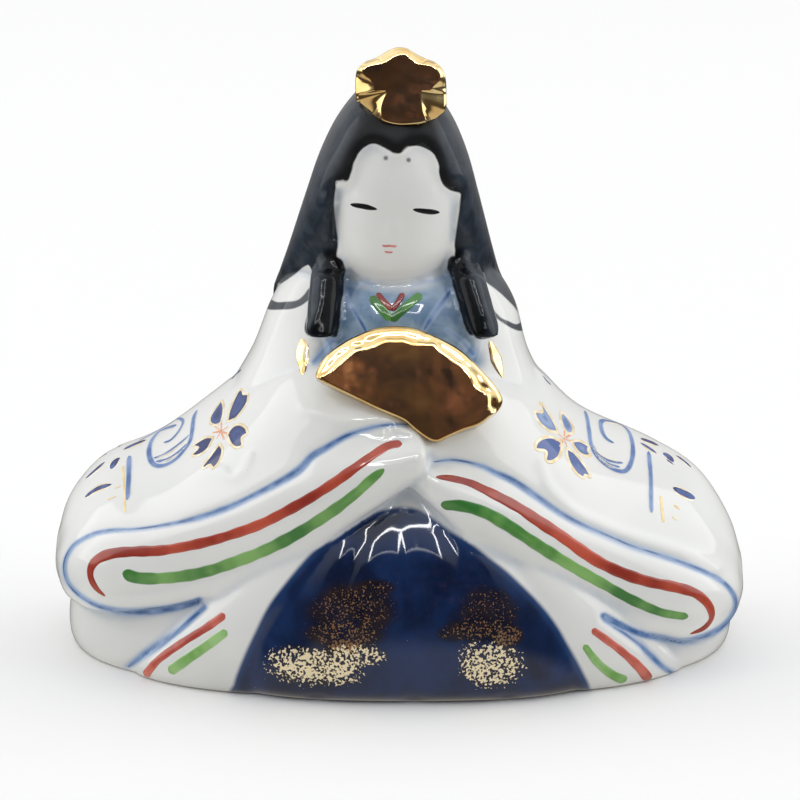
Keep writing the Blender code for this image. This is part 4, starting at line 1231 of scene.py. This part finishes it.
# Near-black of the forehead band and the inner sides of the locks: partly denser paint, partly painted
# shade.
BAND_BLACK_AND_SHADE, BAND_ROUGHNESS = "#0b0e12", 0.5
HAIR_ROUGHNESS, HAIR_IOR = 0.11, 1.28
DUST_LAYERS = [
    # number on the skin, colour, roughness, metal, size of a grain in mm
    ("bronze", "#94704c", 0.4, 0.5, 0.26), ("dust", "#f5e6c2", 0.3, 0.3, 0.36),
]
PIGMENTS = {
    # paint: thin colour, thick colour, roughness, metal, softness of its edge, load length in mm
    "underglaze_blue": ("#86a0c6", "#3a6095", 0.07, 0.0, 0.95, 4.0),
    "swirl_blue": ("#7d95c0", "#46679f", 0.07, 0.0, 0.6, 4.0),
    "petal_blue": ("#4a63a0", "#1a2a62", 0.08, 0.0, 0.1, 1.5),
    "petal_wash": ("#8fa5ca", "#3c5794", 0.08, 0.0, 0.1, 1.8),
    "red_enamel": ("#bc5440", "#8d3227", 0.12, 0.0, 0.14, 9.0),
    "thin_red_enamel": ("#cf7263", "#a5443a", 0.12, 0.0, 0.14, 5.0),
    "dark_red_enamel": ("#a3463c", "#7d2f2e", 0.12, 0.0, 0.14, 4.0),
    "lip_red": ("#d8968d", "#c97268", 0.12, 0.0, 0.6, 2.0),
    "green_enamel": ("#80b063", "#377434", 0.1, 0.0, 0.25, 9.0),
    "thin_green_enamel": ("#9fc784", "#6ba04f", 0.1, 0.0, 0.3, 6.0),
    "dark_green_enamel": ("#5c9550", "#3c6e39", 0.1, 0.0, 0.2, 4.0),
    "black_enamel": ("#181b1f", "#0b0d10", 0.08, 0.0, 0.12, 5.0),
    "soft_grey": ("#8d9096", "#777a81", 0.08, 0.0, 0.7, 2.0),
    "gold_line": ("#f4ead2", "#dcc79c", 0.3, 0.15, 0.06, 1.5),
    "dash_gold": ("#efdcae", "#e2c88f", 0.35, 0.1, 0.3, 2.0),
    "drop_gold": ("#f9ecca", "#e0be7c", 0.12, 0.8, 0.04, 3.0),
    "pistil_gold": ("#f0c7a6", "#dc9468", 0.25, 0.1, 0.3, 2.0),
}


def glaze_finish(name, paint=None, roughness=GLAZE_ROUGHNESS, ior=GLAZE_IOR):
    """Glazed porcelain with hair, wash, skirt and gold dust where the regions say, and any paint on top."""
    material, tree = new_tree(name)
    place = add_node(tree, "TexCoord", output="Object")
    cloud = add_node(tree, "TexNoise", {"Vector": place, "Scale": PER_MM / CLOUD_MM, "Detail": 2.0})
    share = add_node(tree, "MapRange", {"Value": cloud} | CLOUD_LIMITS, **SMOOTH)
    colours = {"Factor": share, "A": srgb(WHITES[0]), "B": srgb(WHITES[1])}
    colour = add_node(tree, "Mix", colours, data_type="RGBA")
    for mask, (start, full), most, grain_mm, tones in LAYERS:
        grain_inputs = {"Vector": place, "Scale": PER_MM / grain_mm, "Detail": 4.0, "Distortion": 0.5}
        grain = add_node(tree, "TexNoise", grain_inputs)
        share = add_node(tree, "MapRange", {"Value": grain} | GRAIN_LIMITS, **SMOOTH)
        body_tones = {"Factor": share, "A": srgb(tones[0]), "B": srgb(tones[1])}
        body = add_node(tree, "Mix", body_tones, data_type="RGBA")
        # Over the hair the band mixes in its near-black: painted shade, with denser paint at the forehead.
        if mask == "hair":
            band = add_node(tree, "Attribute", output="Fac", attribute_name="band")
            share = add_node(tree, "MapRange", {"Value": band} | BAND_LIMITS, **SMOOTH)
            band_tones = {"Factor": share, "A": body, "B": srgb(BAND_BLACK_AND_SHADE)}
            body = add_node(tree, "Mix", band_tones, data_type="RGBA")
        region = add_node(tree, "Attribute", output="Fac", attribute_name=mask)
        limits = {"Value": region, "From Min": start, "From Max": full, "To Max": most}
        cover = add_node(tree, "MapRange", limits, **SMOOTH)
        colour = add_node(tree, "Mix", {"Factor": cover, "A": colour, "B": body}, data_type="RGBA")
    metal = 0.0
    matt = add_node(tree, "Attribute", output="Fac", attribute_name="matt")
    gloss_limits = {"Value": matt, "To Min": roughness, "To Max": BAND_ROUGHNESS} | BAND_LIMITS
    rough = add_node(tree, "MapRange", gloss_limits, **SMOOTH)
    for mask, tone, grain_roughness, grain_metal, grain_mm in DUST_LAYERS:
        speckle = add_node(tree, "TexNoise", {"Vector": place, "Scale": PER_MM / grain_mm, "Detail": 2.0})
        amount = add_node(tree, "Attribute", output="Fac", attribute_name=mask)
        need = add_node(tree, "MapRange", {"Value": amount} | DUST_LIMITS)
        over = add_node(tree, "Math", {0: speckle, 1: need}, operation="SUBTRACT")
        grains = add_node(tree, "MapRange", {"Value": over, "From Max": GRAIN_EDGE}, **SMOOTH)
        colour = add_node(tree, "Mix", {"Factor": grains, "A": colour, "B": srgb(tone)}, data_type="RGBA")
        metal = add_node(tree, "Mix", {"Factor": grains, "A": metal, "B": grain_metal})
        rough = add_node(tree, "Mix", {"Factor": grains, "A": rough, "B": grain_roughness})
    if paint:
        thin, thick, gloss, metallic, softness, load_mm = PIGMENTS[paint]
        along = add_node(tree, "Attribute", output="Fac", attribute_name="along")
        across = add_node(tree, "Attribute", output="Fac", attribute_name="across")
        brush = add_node(tree, "CombineXYZ", {"X": along, "Y": across})
        load = add_node(tree, "TexNoise", {"Vector": brush, "Scale": 1 / load_mm, "Detail": 3.0})
        share = add_node(tree, "MapRange", {"Value": load} | LOAD_LIMITS, **SMOOTH)
        body_tones = {"Factor": share, "A": srgb(thin), "B": srgb(thick)}
        body = add_node(tree, "Mix", body_tones, data_type="RGBA")
        limits = {"Value": across, "From Min": 1 - softness, "From Max": 1.0, "To Min": 1.0, "To Max": 0.0}
        cover = add_node(tree, "MapRange", limits, **SMOOTH)
        colour = add_node(tree, "Mix", {"Factor": cover, "A": colour, "B": body}, data_type="RGBA")
        rough = add_node(tree, "Mix", {"Factor": cover, "A": rough, "B": gloss})
        metal = add_node(tree, "Mix", {"Factor": cover, "A": metal, "B": metallic})
    ripple = add_node(tree, "TexNoise", {"Vector": place, "Scale": PER_MM / RIPPLE_MM, "Detail": 1.0})
    bump = add_node(tree, "Bump", {"Height": ripple, "Strength": 0.12, "Distance": RIPPLE_DEPTH})
    look = {"Base Color": colour, "Roughness": rough, "Metallic": metal, "IOR": ior, "Normal": bump}
    add_node(tree, "OutputMaterial", {"Surface": add_node(tree, "BsdfPrincipled", look)})
    return material


# %% The skin, piece by piece
SLOT_OF = {name: nodes[name].data.materials[0].name for name in nodes}


def finish_object(name, mesh, material):
    """A piece of the visual model that rides with the doll."""
    thing = bpy.data.objects.new(name, mesh)
    bpy.context.scene.collection.objects.link(thing)
    mesh.materials.append(material)
    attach(thing, "root")
    return thing


def keep_numbers(mesh, fields):
    """Stores arrays with one number for each point on a mesh."""
    for field, values in fields.items():
        layer = mesh.attributes.new(field, "FLOAT", "POINT")
        layer.data.foreach_set("value", np.asarray(values, np.float32))


glazes = {
    "white_porcelain": glaze_finish("glazed_white_porcelain"),
    "face_porcelain": glaze_finish("glazed_face_porcelain"),
    "pale_blue_wash": glaze_finish("glazed_blue_washed_porcelain"),
    "cobalt_blue": glaze_finish("glazed_cobalt_porcelain"),
    "black_enamel": glaze_finish("glazed_black_enamel", roughness=HAIR_ROUGHNESS, ior=HAIR_IOR),
}
for number, name in enumerate(glazed):
    faces = skin_faces[face_owner == number]
    used, renumbered = np.unique(faces, return_inverse=True)
    mesh = new_mesh("glazed_" + name, skin_points[used], renumbered.reshape(faces.shape))
    mesh.normals_split_custom_set_from_vertices(skin_normals[used].tolist())
    keep_numbers(mesh, {field: values[used] for field, values in REGIONS.items()})
    slot = SLOT_OF[name]
    piece = finish_object("glazed_" + name, mesh, glazes[slot])
    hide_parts(name)
print("skin pieces:", len(glazed))

# %% The strokes, one piece for each paint
NEXT_LOAD = 37
for paint, patches in paints.items():
    points, faces, across, along, normals, regions, count = [], [], [], [], [], [], 0
    for patch in patches:
        points.append(patch[0])
        faces.append(patch[1] + count)
        across.append(np.abs(patch[2]))
        along.append(patch[3] + NEXT_LOAD * len(points))
        corners, weights = patch[4], patch[5]
        regions.append([np.einsum("pk,pk->p", weights, values[corners]) for values in REGIONS.values()])
        normals.append(patch[6])
        count += len(patch[0])
    mesh = new_mesh(paint, np.vstack(points), np.vstack(faces))
    if "enamel" not in paint and "gold" not in paint:
        mesh.normals_split_custom_set_from_vertices(np.vstack(normals).tolist())
    keep_numbers(mesh, {"across": np.concatenate(across), "along": np.concatenate(along)})
    keep_numbers(mesh, dict(zip(REGIONS, np.concatenate(regions, axis=1))))
    finish_object(paint + "_strokes", mesh, glaze_finish("painted_" + paint, paint))
    print(paint, len(mesh.polygons), "faces")

# %% [markdown]
# ## Crown and fan
#
# Both are cast plates covered with bright gold lustre. The middle is nearly flat, so it mirrors one
# dark patch of the room. The rim falls away from it and mirrors the bright walls and ceiling, which
# is why a scalloped yellow edge seems to run round a brown middle. A bevel on a flat solid would be
# too even, so each plate is built from rings between two listed outlines.

# %% Rings between two outlines
GILT_SPOKES = 240
FACE_SHARES = (0.0, 0.3, 0.55, 0.75, 0.88, 0.96)
RIM_SHARES = (0.0, 0.06, 0.14, 0.24, 0.36, 0.5, 0.64, 0.78, 0.9, 1.0)
BACK_SHARES = (0.98, 0.9, 0.6, 0.3)
LEAST_RIM, EDGE_DROP, BACK_EDGE, SIDE_SPREAD = 0.15 * MM, 0.2 * MM, 0.25 * MM, 1.005
PARALLEL = 1e-15
ACROSS_PLATE = np.array((1.0, 0, 0))


def plate_plane(name, lean):
    """The plane of a plate's front: its normal, its upward direction, and how far out it lies."""
    normal = np.array((0.0, -math.cos(lean), math.sin(lean)))
    upward = np.array((0.0, math.sin(lean), math.cos(lean)))
    front = (vertex_array(nodes[name].data, "co") @ normal).max()
    return normal, upward, front


def on_plane(pixels, normal, upward, front):
    """Pixels of the photograph as flat places on a plate's front."""
    flat = []
    for pixel in pixels:
        ray = picture_ray(pixel)
        place = camera_place + ray * (front - camera_place @ normal) / (ray @ normal)
        flat.append((place[0], place @ upward))
    return np.array(flat)


def spoke_lengths(outline, centre, angles):
    """How far the outline lies from the centre along each angle."""
    start = outline - centre
    side = np.roll(start, -1, axis=0) - start
    reach = []
    for angle in angles:
        ray = np.array((math.cos(angle), math.sin(angle)))
        turn = ray[0] * side[:, 1] - ray[1] * side[:, 0]
        turn = np.where(np.abs(turn) < PARALLEL, PARALLEL, turn)
        out = (start[:, 0] * side[:, 1] - start[:, 1] * side[:, 0]) / turn
        share = (start[:, 0] * ray[1] - start[:, 1] * ray[0]) / turn
        reach.append(out[(share >= 0) & (share <= 1) & (out > 0)].max())
    return np.array(reach)


def gilt_plate(name, lean, centre, face, outline, thickness, rim_height):
    """A plate with a mirror-like face inside a shaped rim. rim_height gives the rise of the rim."""
    normal, upward, front = plate_plane(name, lean)
    middle = on_plane([centre], normal, upward, front)[0]
    angles = np.linspace(0, 2 * math.pi, GILT_SPOKES, endpoint=False)
    inner = spoke_lengths(on_plane(face, normal, upward, front), middle, angles)
    outer = spoke_lengths(on_plane(outline, normal, upward, front), middle, angles)
    outer = np.maximum(outer, inner + LEAST_RIM)
    width = outer - inner
    rings = [(inner * share, np.zeros(GILT_SPOKES)) for share in FACE_SHARES]
    for share in RIM_SHARES:
        rings.append((inner + width * share, rim_height(np.full(GILT_SPOKES, share), angles, width)))
    rings.append((outer * SIDE_SPREAD, rings[-1][1] - EDGE_DROP))
    rings.append((outer * SIDE_SPREAD, np.full(GILT_SPOKES, BACK_EDGE - thickness)))
    rings += [(outer * share, np.full(GILT_SPOKES, -thickness)) for share in BACK_SHARES]
    points = [middle[0] * ACROSS_PLATE + middle[1] * upward + front * normal]
    for radius, rise in rings[1:]:
        flat = middle + np.stack([np.cos(angles), np.sin(angles)], axis=1) * radius[:, None]
        points += list(flat[:, :1] * ACROSS_PLATE + flat[:, 1:] * upward + (front + rise)[:, None] * normal)
    points.append(points[0] - thickness * normal)
    mesh = bpy.data.meshes.new("gilt_" + name)
    faces = []
    count, last = len(rings) - 1, len(points) - 1
    for k in range(GILT_SPOKES):
        after = (k + 1) % GILT_SPOKES
        faces.append((0, 1 + k, 1 + after))
        for ring in range(count - 1):
            a, b = 1 + ring * GILT_SPOKES + k, 1 + ring * GILT_SPOKES + after
            faces.append((a, a + GILT_SPOKES, b + GILT_SPOKES, b))
        outermost = 1 + (count - 1) * GILT_SPOKES
        faces.append((outermost + after, outermost + k, last))
    mesh.from_pydata([tuple(p) for p in points], [], faces)
    mesh.shade_smooth()
    return mesh


# %% Gold lustre
GOLD_TONES = ("#f3dca6", "#dcb878")
GOLD_CLOUD_MM, GOLD_WAVE_MM, GOLD_WAVE_DEPTH = 4.0, 4.5, 0.09 * MM


def gold_finish(name):
    """Bright gold fired on glaze: a mirror with slight clouds where the brush left it thin."""
    material, tree = new_tree(name)
    place = add_node(tree, "TexCoord", output="Object")
    cloud = add_node(tree, "TexNoise", {"Vector": place, "Scale": PER_MM / GOLD_CLOUD_MM, "Detail": 4.0})
    share = add_node(tree, "MapRange", {"Value": cloud} | GRAIN_LIMITS, **SMOOTH)
    tones = {"Factor": share, "A": srgb(GOLD_TONES[0]), "B": srgb(GOLD_TONES[1])}
    colour = add_node(tree, "Mix", tones, data_type="RGBA")
    limits = {"Value": cloud, "From Min": 0.3, "From Max": 0.75, "To Min": 0.05, "To Max": 0.12}
    rough = add_node(tree, "MapRange", limits, **SMOOTH)
    ripple = add_node(tree, "TexNoise", {"Vector": place, "Scale": PER_MM / GOLD_WAVE_MM, "Detail": 1.5})
    bump = add_node(tree, "Bump", {"Height": ripple, "Strength": 0.5, "Distance": GOLD_WAVE_DEPTH})
    look = {"Base Color": colour, "Metallic": 1.0, "Roughness": rough, "Normal": bump}
    add_node(tree, "OutputMaterial", {"Surface": add_node(tree, "BsdfPrincipled", look)})
    return material


gold_lustre = gold_finish("bright_gold_lustre")
print("made", gold_lustre.name)

# %% The crown
CROWN_LEAN = math.radians(14)
CROWN_CENTRE = (401, 88)
CROWN_OUTLINE = [
    (356, 98), (355.6, 75), (359.5, 66), (366, 60.5), (373, 58), (381, 54), (388, 49.5), (394, 47),
    (400, 46.3),
    (407, 47.5), (412, 50.5), (418, 54), (427, 58), (436, 62), (443, 69.5), (446, 80), (446.5, 92),
    (446, 107),
    (440, 113.5), (433, 118.5), (421, 122.5), (408, 124.5), (395, 124), (384, 121), (376, 116),
    (368, 108), (360, 101),
]
CROWN_FACE = [
    (362, 70.5), (366, 66.5), (372.5, 64.5), (382, 62.5), (388, 60), (393, 56.5), (399, 54), (406, 54.3),
    (411, 58),
    (417, 63), (424, 64), (433, 66), (438, 70), (440.5, 76), (438.5, 82), (433, 87), (431, 90), (427, 90.5),
    (421, 91), (420.5, 97), (421.5, 104), (423, 112), (425, 121), (408, 123.8), (395, 123.4),
    (383, 119.5), (381, 112),
    (381.5, 105), (384, 98), (387, 91.5), (380, 90.5), (374, 91), (373.5, 85), (370, 79.5), (364.5, 76),
]
CROWN_NOTCHES = [(365, 66), (380.5, 60), (393, 54.5), (410, 55.5), (423.5, 62.5), (435.5, 66)]
CROWN_THICKNESS = 4.4 * MM
RIM_DEPTH, STEP_DEPTH, NOTCH_DEPTH, NOTCH_WIDTH = 1.6 * MM, 0.1 * MM, 0.16 * MM, 0.035
notch_angles = [math.atan2(CROWN_CENTRE[1] - y, x - CROWN_CENTRE[0]) for x, y in CROWN_NOTCHES]


def notch_share(angles, places, width):
    """1 in the middle of each notch and 0 away from them."""
    off = np.abs((angles[:, None] - np.array(places)[None] + math.pi) % (2 * math.pi) - math.pi)
    return np.exp(-((off / width) ** 2)).max(axis=1)


def crown_rim(share, angles, width):
    """The crown's rim falls straight away from the face, with a small step half way out."""
    depth = np.minimum(width, RIM_DEPTH)
    step = STEP_DEPTH * ease(share, 0.6, 0.7)
    notch = NOTCH_DEPTH * notch_share(angles, notch_angles, NOTCH_WIDTH) * np.sin(share * math.pi)
    return -depth * (0.8 * share + 0.2 * share**2) - step - notch


crown_mesh = gilt_plate(
    "crown", CROWN_LEAN, CROWN_CENTRE, smooth_line(CROWN_FACE, 4, closed=True),
    smooth_line(CROWN_OUTLINE, 4, closed=True), CROWN_THICKNESS, crown_rim,
)
crown = finish_object("gilt_crown", crown_mesh, gold_lustre)
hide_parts("crown")

# %% The fan
FAN_LEAN = math.radians(22)
FAN_CENTRE = (408, 385)
FAN_FACE = [
    (320.6, 378), (330, 371), (343, 360), (354.6, 350.6), (364, 348.5), (373, 346), (381, 342.5),
    (388, 340.6),
    (396, 341), (403, 340.8), (412, 343.5), (421, 344), (429, 344.2), (434, 344.5), (439, 350),
    (446, 354.7),
    (454, 361), (461, 364.7), (466, 371), (470.7, 376), (474, 384), (479, 389.6), (486, 393),
    (487.5, 400), (488, 406),
    (491, 413), (479, 423), (462, 429), (446, 436), (436, 440), (426, 436), (413, 426), (403, 418),
    (379.5, 408),
    (354.6, 396), (338, 388),
]
FAN_OUTLINE = [
    (316.3, 377), (316.5, 370), (326, 354.7), (343, 341.5), (359.6, 333), (373, 327.5), (385, 325.3),
    (397, 324.8),
    (413, 326.5), (429, 332), (446, 340), (462, 350), (479, 366), (494, 383), (502, 396), (501.5, 404),
    (497, 411),
    (491, 415), (479, 424), (462, 430), (446, 437), (436, 441), (426, 437.5), (413, 427.5), (403, 419.5),
    (379.5, 409.5),
    (354.6, 397.5), (338, 389.5), (322, 381),
]
FAN_THICKNESS = 3.1 * MM
FULL_RIM = (0.3 * MM, 1.1 * MM)
FACE_STEP, BAND_FALL, OUTER_ROLL, EDGE_FALL, WAVE_HEIGHT = 0.32 * MM, 0.2 * MM, 0.5 * MM, 0.1 * MM, 0.03 * MM


def fan_rim(share, angles, width):
    """The fan's rim: a bright step at the face, a nearly flat band, and a rolled outer edge."""
    full = ease(width, *FULL_RIM)
    step = FACE_STEP * ease(share, 0.0, 0.3) + BAND_FALL * share
    waves = WAVE_HEIGHT * np.sin(angles * 17 + 3 * np.sin(angles * 5)) * np.sin(share * math.pi)
    return waves * full - full * (step + OUTER_ROLL * ease(share, 0.7, 1.1)) - EDGE_FALL * share


fan_mesh = gilt_plate(
    "fan", FAN_LEAN, FAN_CENTRE, smooth_line(FAN_FACE, 4, closed=True),
    smooth_line(FAN_OUTLINE, 4, closed=True), FAN_THICKNESS, fan_rim,
)
fan = finish_object("gilt_fan", fan_mesh, gold_lustre)
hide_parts("fan")
print("gilt pieces:", len(crown_mesh.polygons) + len(fan_mesh.polygons), "faces")

# %% [markdown]
# ## Floor, light and the dark of the room
#
# The doll stands on white paper. Glazed clay shows its shape by what it mirrors and by how much sky
# each part of it sees, so even light from all round would make it flat. Here the sky is bright above
# and a little behind, and dims towards the front, where the real room was dark brown. Two pale
# panels stand at the sides. A frame of thin lamps hangs overhead, and its mirror images are the
# small bright loops on the skirt and the thin lines along the folds. Straight behind the doll the
# sky is darker again, because the hair's outer edges mirror it and would turn grey.
#
# The lamps are metres away, because light from near by would burn the paper white around the doll.

# %% Paper floor
def plain_finish(name, colour, roughness):
    """A matt finish for the stage."""
    material, tree = new_tree(name)
    look = {"Base Color": srgb(colour), "Roughness": roughness}
    add_node(tree, "OutputMaterial", {"Surface": add_node(tree, "BsdfPrincipled", look)})
    return material


def stage_sheet(name, corners, material):
    """A flat sheet that belongs to the stage."""
    mesh = new_mesh(name, corners, np.array([[0, 1, 2, 3]]))
    mesh.materials.append(material)
    sheet = bpy.data.objects.new(name, mesh)
    bpy.context.scene.collection.objects.link(sheet)
    return sheet


FLOOR_HALF = 4.0
floor_corners = [(x * FLOOR_HALF, y * FLOOR_HALF, 0) for x, y in ((-1, -1), (1, -1), (1, 1), (-1, 1))]
paper = stage_sheet("paper_floor", floor_corners, plain_finish("white_paper", "#eaeae9", 0.9))
paper.visible_glossy = False
print("made", paper.name)

# %% The dark of the room in front
CARD_DISTANCE, CARD_HALF_WIDTH, CARD_LOW, CARD_TOP = 0.60, 0.40, 0.0, 0.52
CARD_FADE = 0.43
BLOTCHES = [
    # where in the noise each tone starts and is full, and its colour
    (0.40, 0.55, "#4c4348"), (0.53, 0.63, "#8c5c50"), (0.65, 0.70, "#dcb298"),
]
card_corners = [
    (CARD_HALF_WIDTH, -CARD_DISTANCE, CARD_LOW), (-CARD_HALF_WIDTH, -CARD_DISTANCE, CARD_LOW),
    (-CARD_HALF_WIDTH, -CARD_DISTANCE, CARD_TOP), (CARD_HALF_WIDTH, -CARD_DISTANCE, CARD_TOP),
]
card_material, card_tree = new_tree("dim_brown_room")
card_place = add_node(card_tree, "TexCoord", output="Object")
blotch_inputs = {"Vector": card_place, "Scale": 48.0, "Detail": 5.0, "Distortion": 1.2}
blotches = add_node(card_tree, "TexNoise", blotch_inputs)
card_colour = srgb("#18171c")
for start, full, tone in BLOTCHES:
    blotch_limits = {"Value": blotches, "From Min": start, "From Max": full}
    blotch_share = add_node(card_tree, "MapRange", blotch_limits, **SMOOTH)
    card_tones = {"Factor": blotch_share, "A": card_colour, "B": srgb(tone)}
    card_colour = add_node(card_tree, "Mix", card_tones, data_type="RGBA")
card_glow = add_node(card_tree, "Emission", {"Color": card_colour})
card_height = add_node(card_tree, "SeparateXYZ", {"Vector": card_place}, output="Z")
fade_limits = {"Value": card_height, "From Min": CARD_FADE, "From Max": CARD_TOP}
card_fade = add_node(card_tree, "MapRange", fade_limits, **SMOOTH)
card_clear = add_node(card_tree, "BsdfTransparent")
card_surface = add_node(card_tree, "MixShader", {0: card_fade, 1: card_glow, 2: card_clear})
add_node(card_tree, "OutputMaterial", {"Surface": card_surface})
card = stage_sheet("dark_card", card_corners, card_material)
card.visible_camera = False
card.visible_diffuse = False
print("made", card.name, "with", len(BLOTCHES), "tones of blotches")


# %% Lamps
def lamp(name, place, target, sides, radiance):
    """An oblong area light that faces a target. Sides are in metres."""
    data = bpy.data.lights.new(name, "AREA")
    data.shape = "RECTANGLE"
    data.size, data.size_y = sides
    data.energy = radiance * math.pi * sides[0] * sides[1]
    light = bpy.data.objects.new(name, data)
    light.location = place
    light.rotation_euler = (Vector(place) - Vector(target)).to_track_quat("Z", "Y").to_euler()
    bpy.context.scene.collection.objects.link(light)
    return light


FRAME_CENTRE = Vector((-0.15, -2.25, 2.15))
FRAME_WIDTH, FRAME_DEPTH, TUBE_WIDTH, TUBE_RADIANCE = 2.0, 1.2, 0.12, 26.0
for name, shift, sides in (
    ("frame_front", (0, -FRAME_DEPTH / 2, 0), (FRAME_WIDTH, TUBE_WIDTH)),
    ("frame_back", (0, FRAME_DEPTH / 2, 0), (FRAME_WIDTH, TUBE_WIDTH)),
    ("frame_left", (-FRAME_WIDTH / 2, 0, 0), (TUBE_WIDTH, FRAME_DEPTH)),
    ("frame_right", (FRAME_WIDTH / 2, 0, 0), (TUBE_WIDTH, FRAME_DEPTH)),
):
    place = FRAME_CENTRE + Vector(shift)
    tube = lamp(name, place, place - Vector((0, 0, 1)), sides, TUBE_RADIANCE)
    tube.visible_diffuse = False
PANEL_AWAY, PANEL_HEIGHT, PANEL_SIDE, PANEL_RADIANCE = 2.6, 1.1, 2.4, 1.6
for name, side in (("left_panel", -1), ("right_panel", 1)):
    place = (side * PANEL_AWAY, 0.0, PANEL_HEIGHT)
    lamp(name, place, AIM_POINT, (PANEL_SIDE, PANEL_SIDE), PANEL_RADIANCE)

# %% Sky
SKY_TOWARDS = Vector((0.0, 0.45, 0.89))
FLOOR_TOWARDS = Vector((0.0, 0.25, 0.97))
SKY_STRENGTH, STRAIGHT_BEHIND = 1.36, 0.35
world = bpy.data.worlds.new("bright_room")
bpy.context.scene.world = world
world.use_nodes = True
sky_tree = world.node_tree
sky_tree.nodes.clear()


def sky_mask(value, start, full, most=1.0, least=0.0):
    """A smooth step over a number of the sky, from least to most."""
    limits = {"Value": value, "From Min": start, "From Max": full, "To Min": least, "To Max": most}
    return add_node(sky_tree, "MapRange", limits, **SMOOTH)


direction = add_node(sky_tree, "TexCoord", output="Generated")
DOT = {"operation": "DOT_PRODUCT", "output": "Value"}
towards = add_node(sky_tree, "VectorMath", {0: direction, 1: SKY_TOWARDS}, **DOT)
rise = add_node(sky_tree, "SeparateXYZ", {"Vector": direction}, output="Z")
backward = add_node(sky_tree, "SeparateXYZ", {"Vector": direction}, output="Y")
sky_share = sky_mask(towards, -0.2, 0.65)
for mask in (sky_mask(rise, -0.35, 0.1), sky_mask(backward, 0.45, 0.9, STRAIGHT_BEHIND, 1.0)):
    sky_share = add_node(sky_tree, "Math", {0: sky_share, 1: mask}, operation="MULTIPLY")
sky_tones = {"Factor": sky_share, "A": srgb("#47423e"), "B": srgb("#f5f6f7")}
sky_colour = add_node(sky_tree, "Mix", sky_tones, data_type="RGBA")
down = add_node(sky_tree, "VectorMath", {0: direction, 1: FLOOR_TOWARDS}, **DOT)
below = sky_mask(down, -0.3, -0.55)
floor_tones = {"Factor": below, "A": sky_colour, "B": srgb("#bdb6aa")}
sky_colour = add_node(sky_tree, "Mix", floor_tones, data_type="RGBA")
sky = add_node(sky_tree, "Background", {"Color": sky_colour, "Strength": SKY_STRENGTH})
add_node(sky_tree, "OutputWorld", {"Surface": sky})
print("sky nodes:", len(sky_tree.nodes))
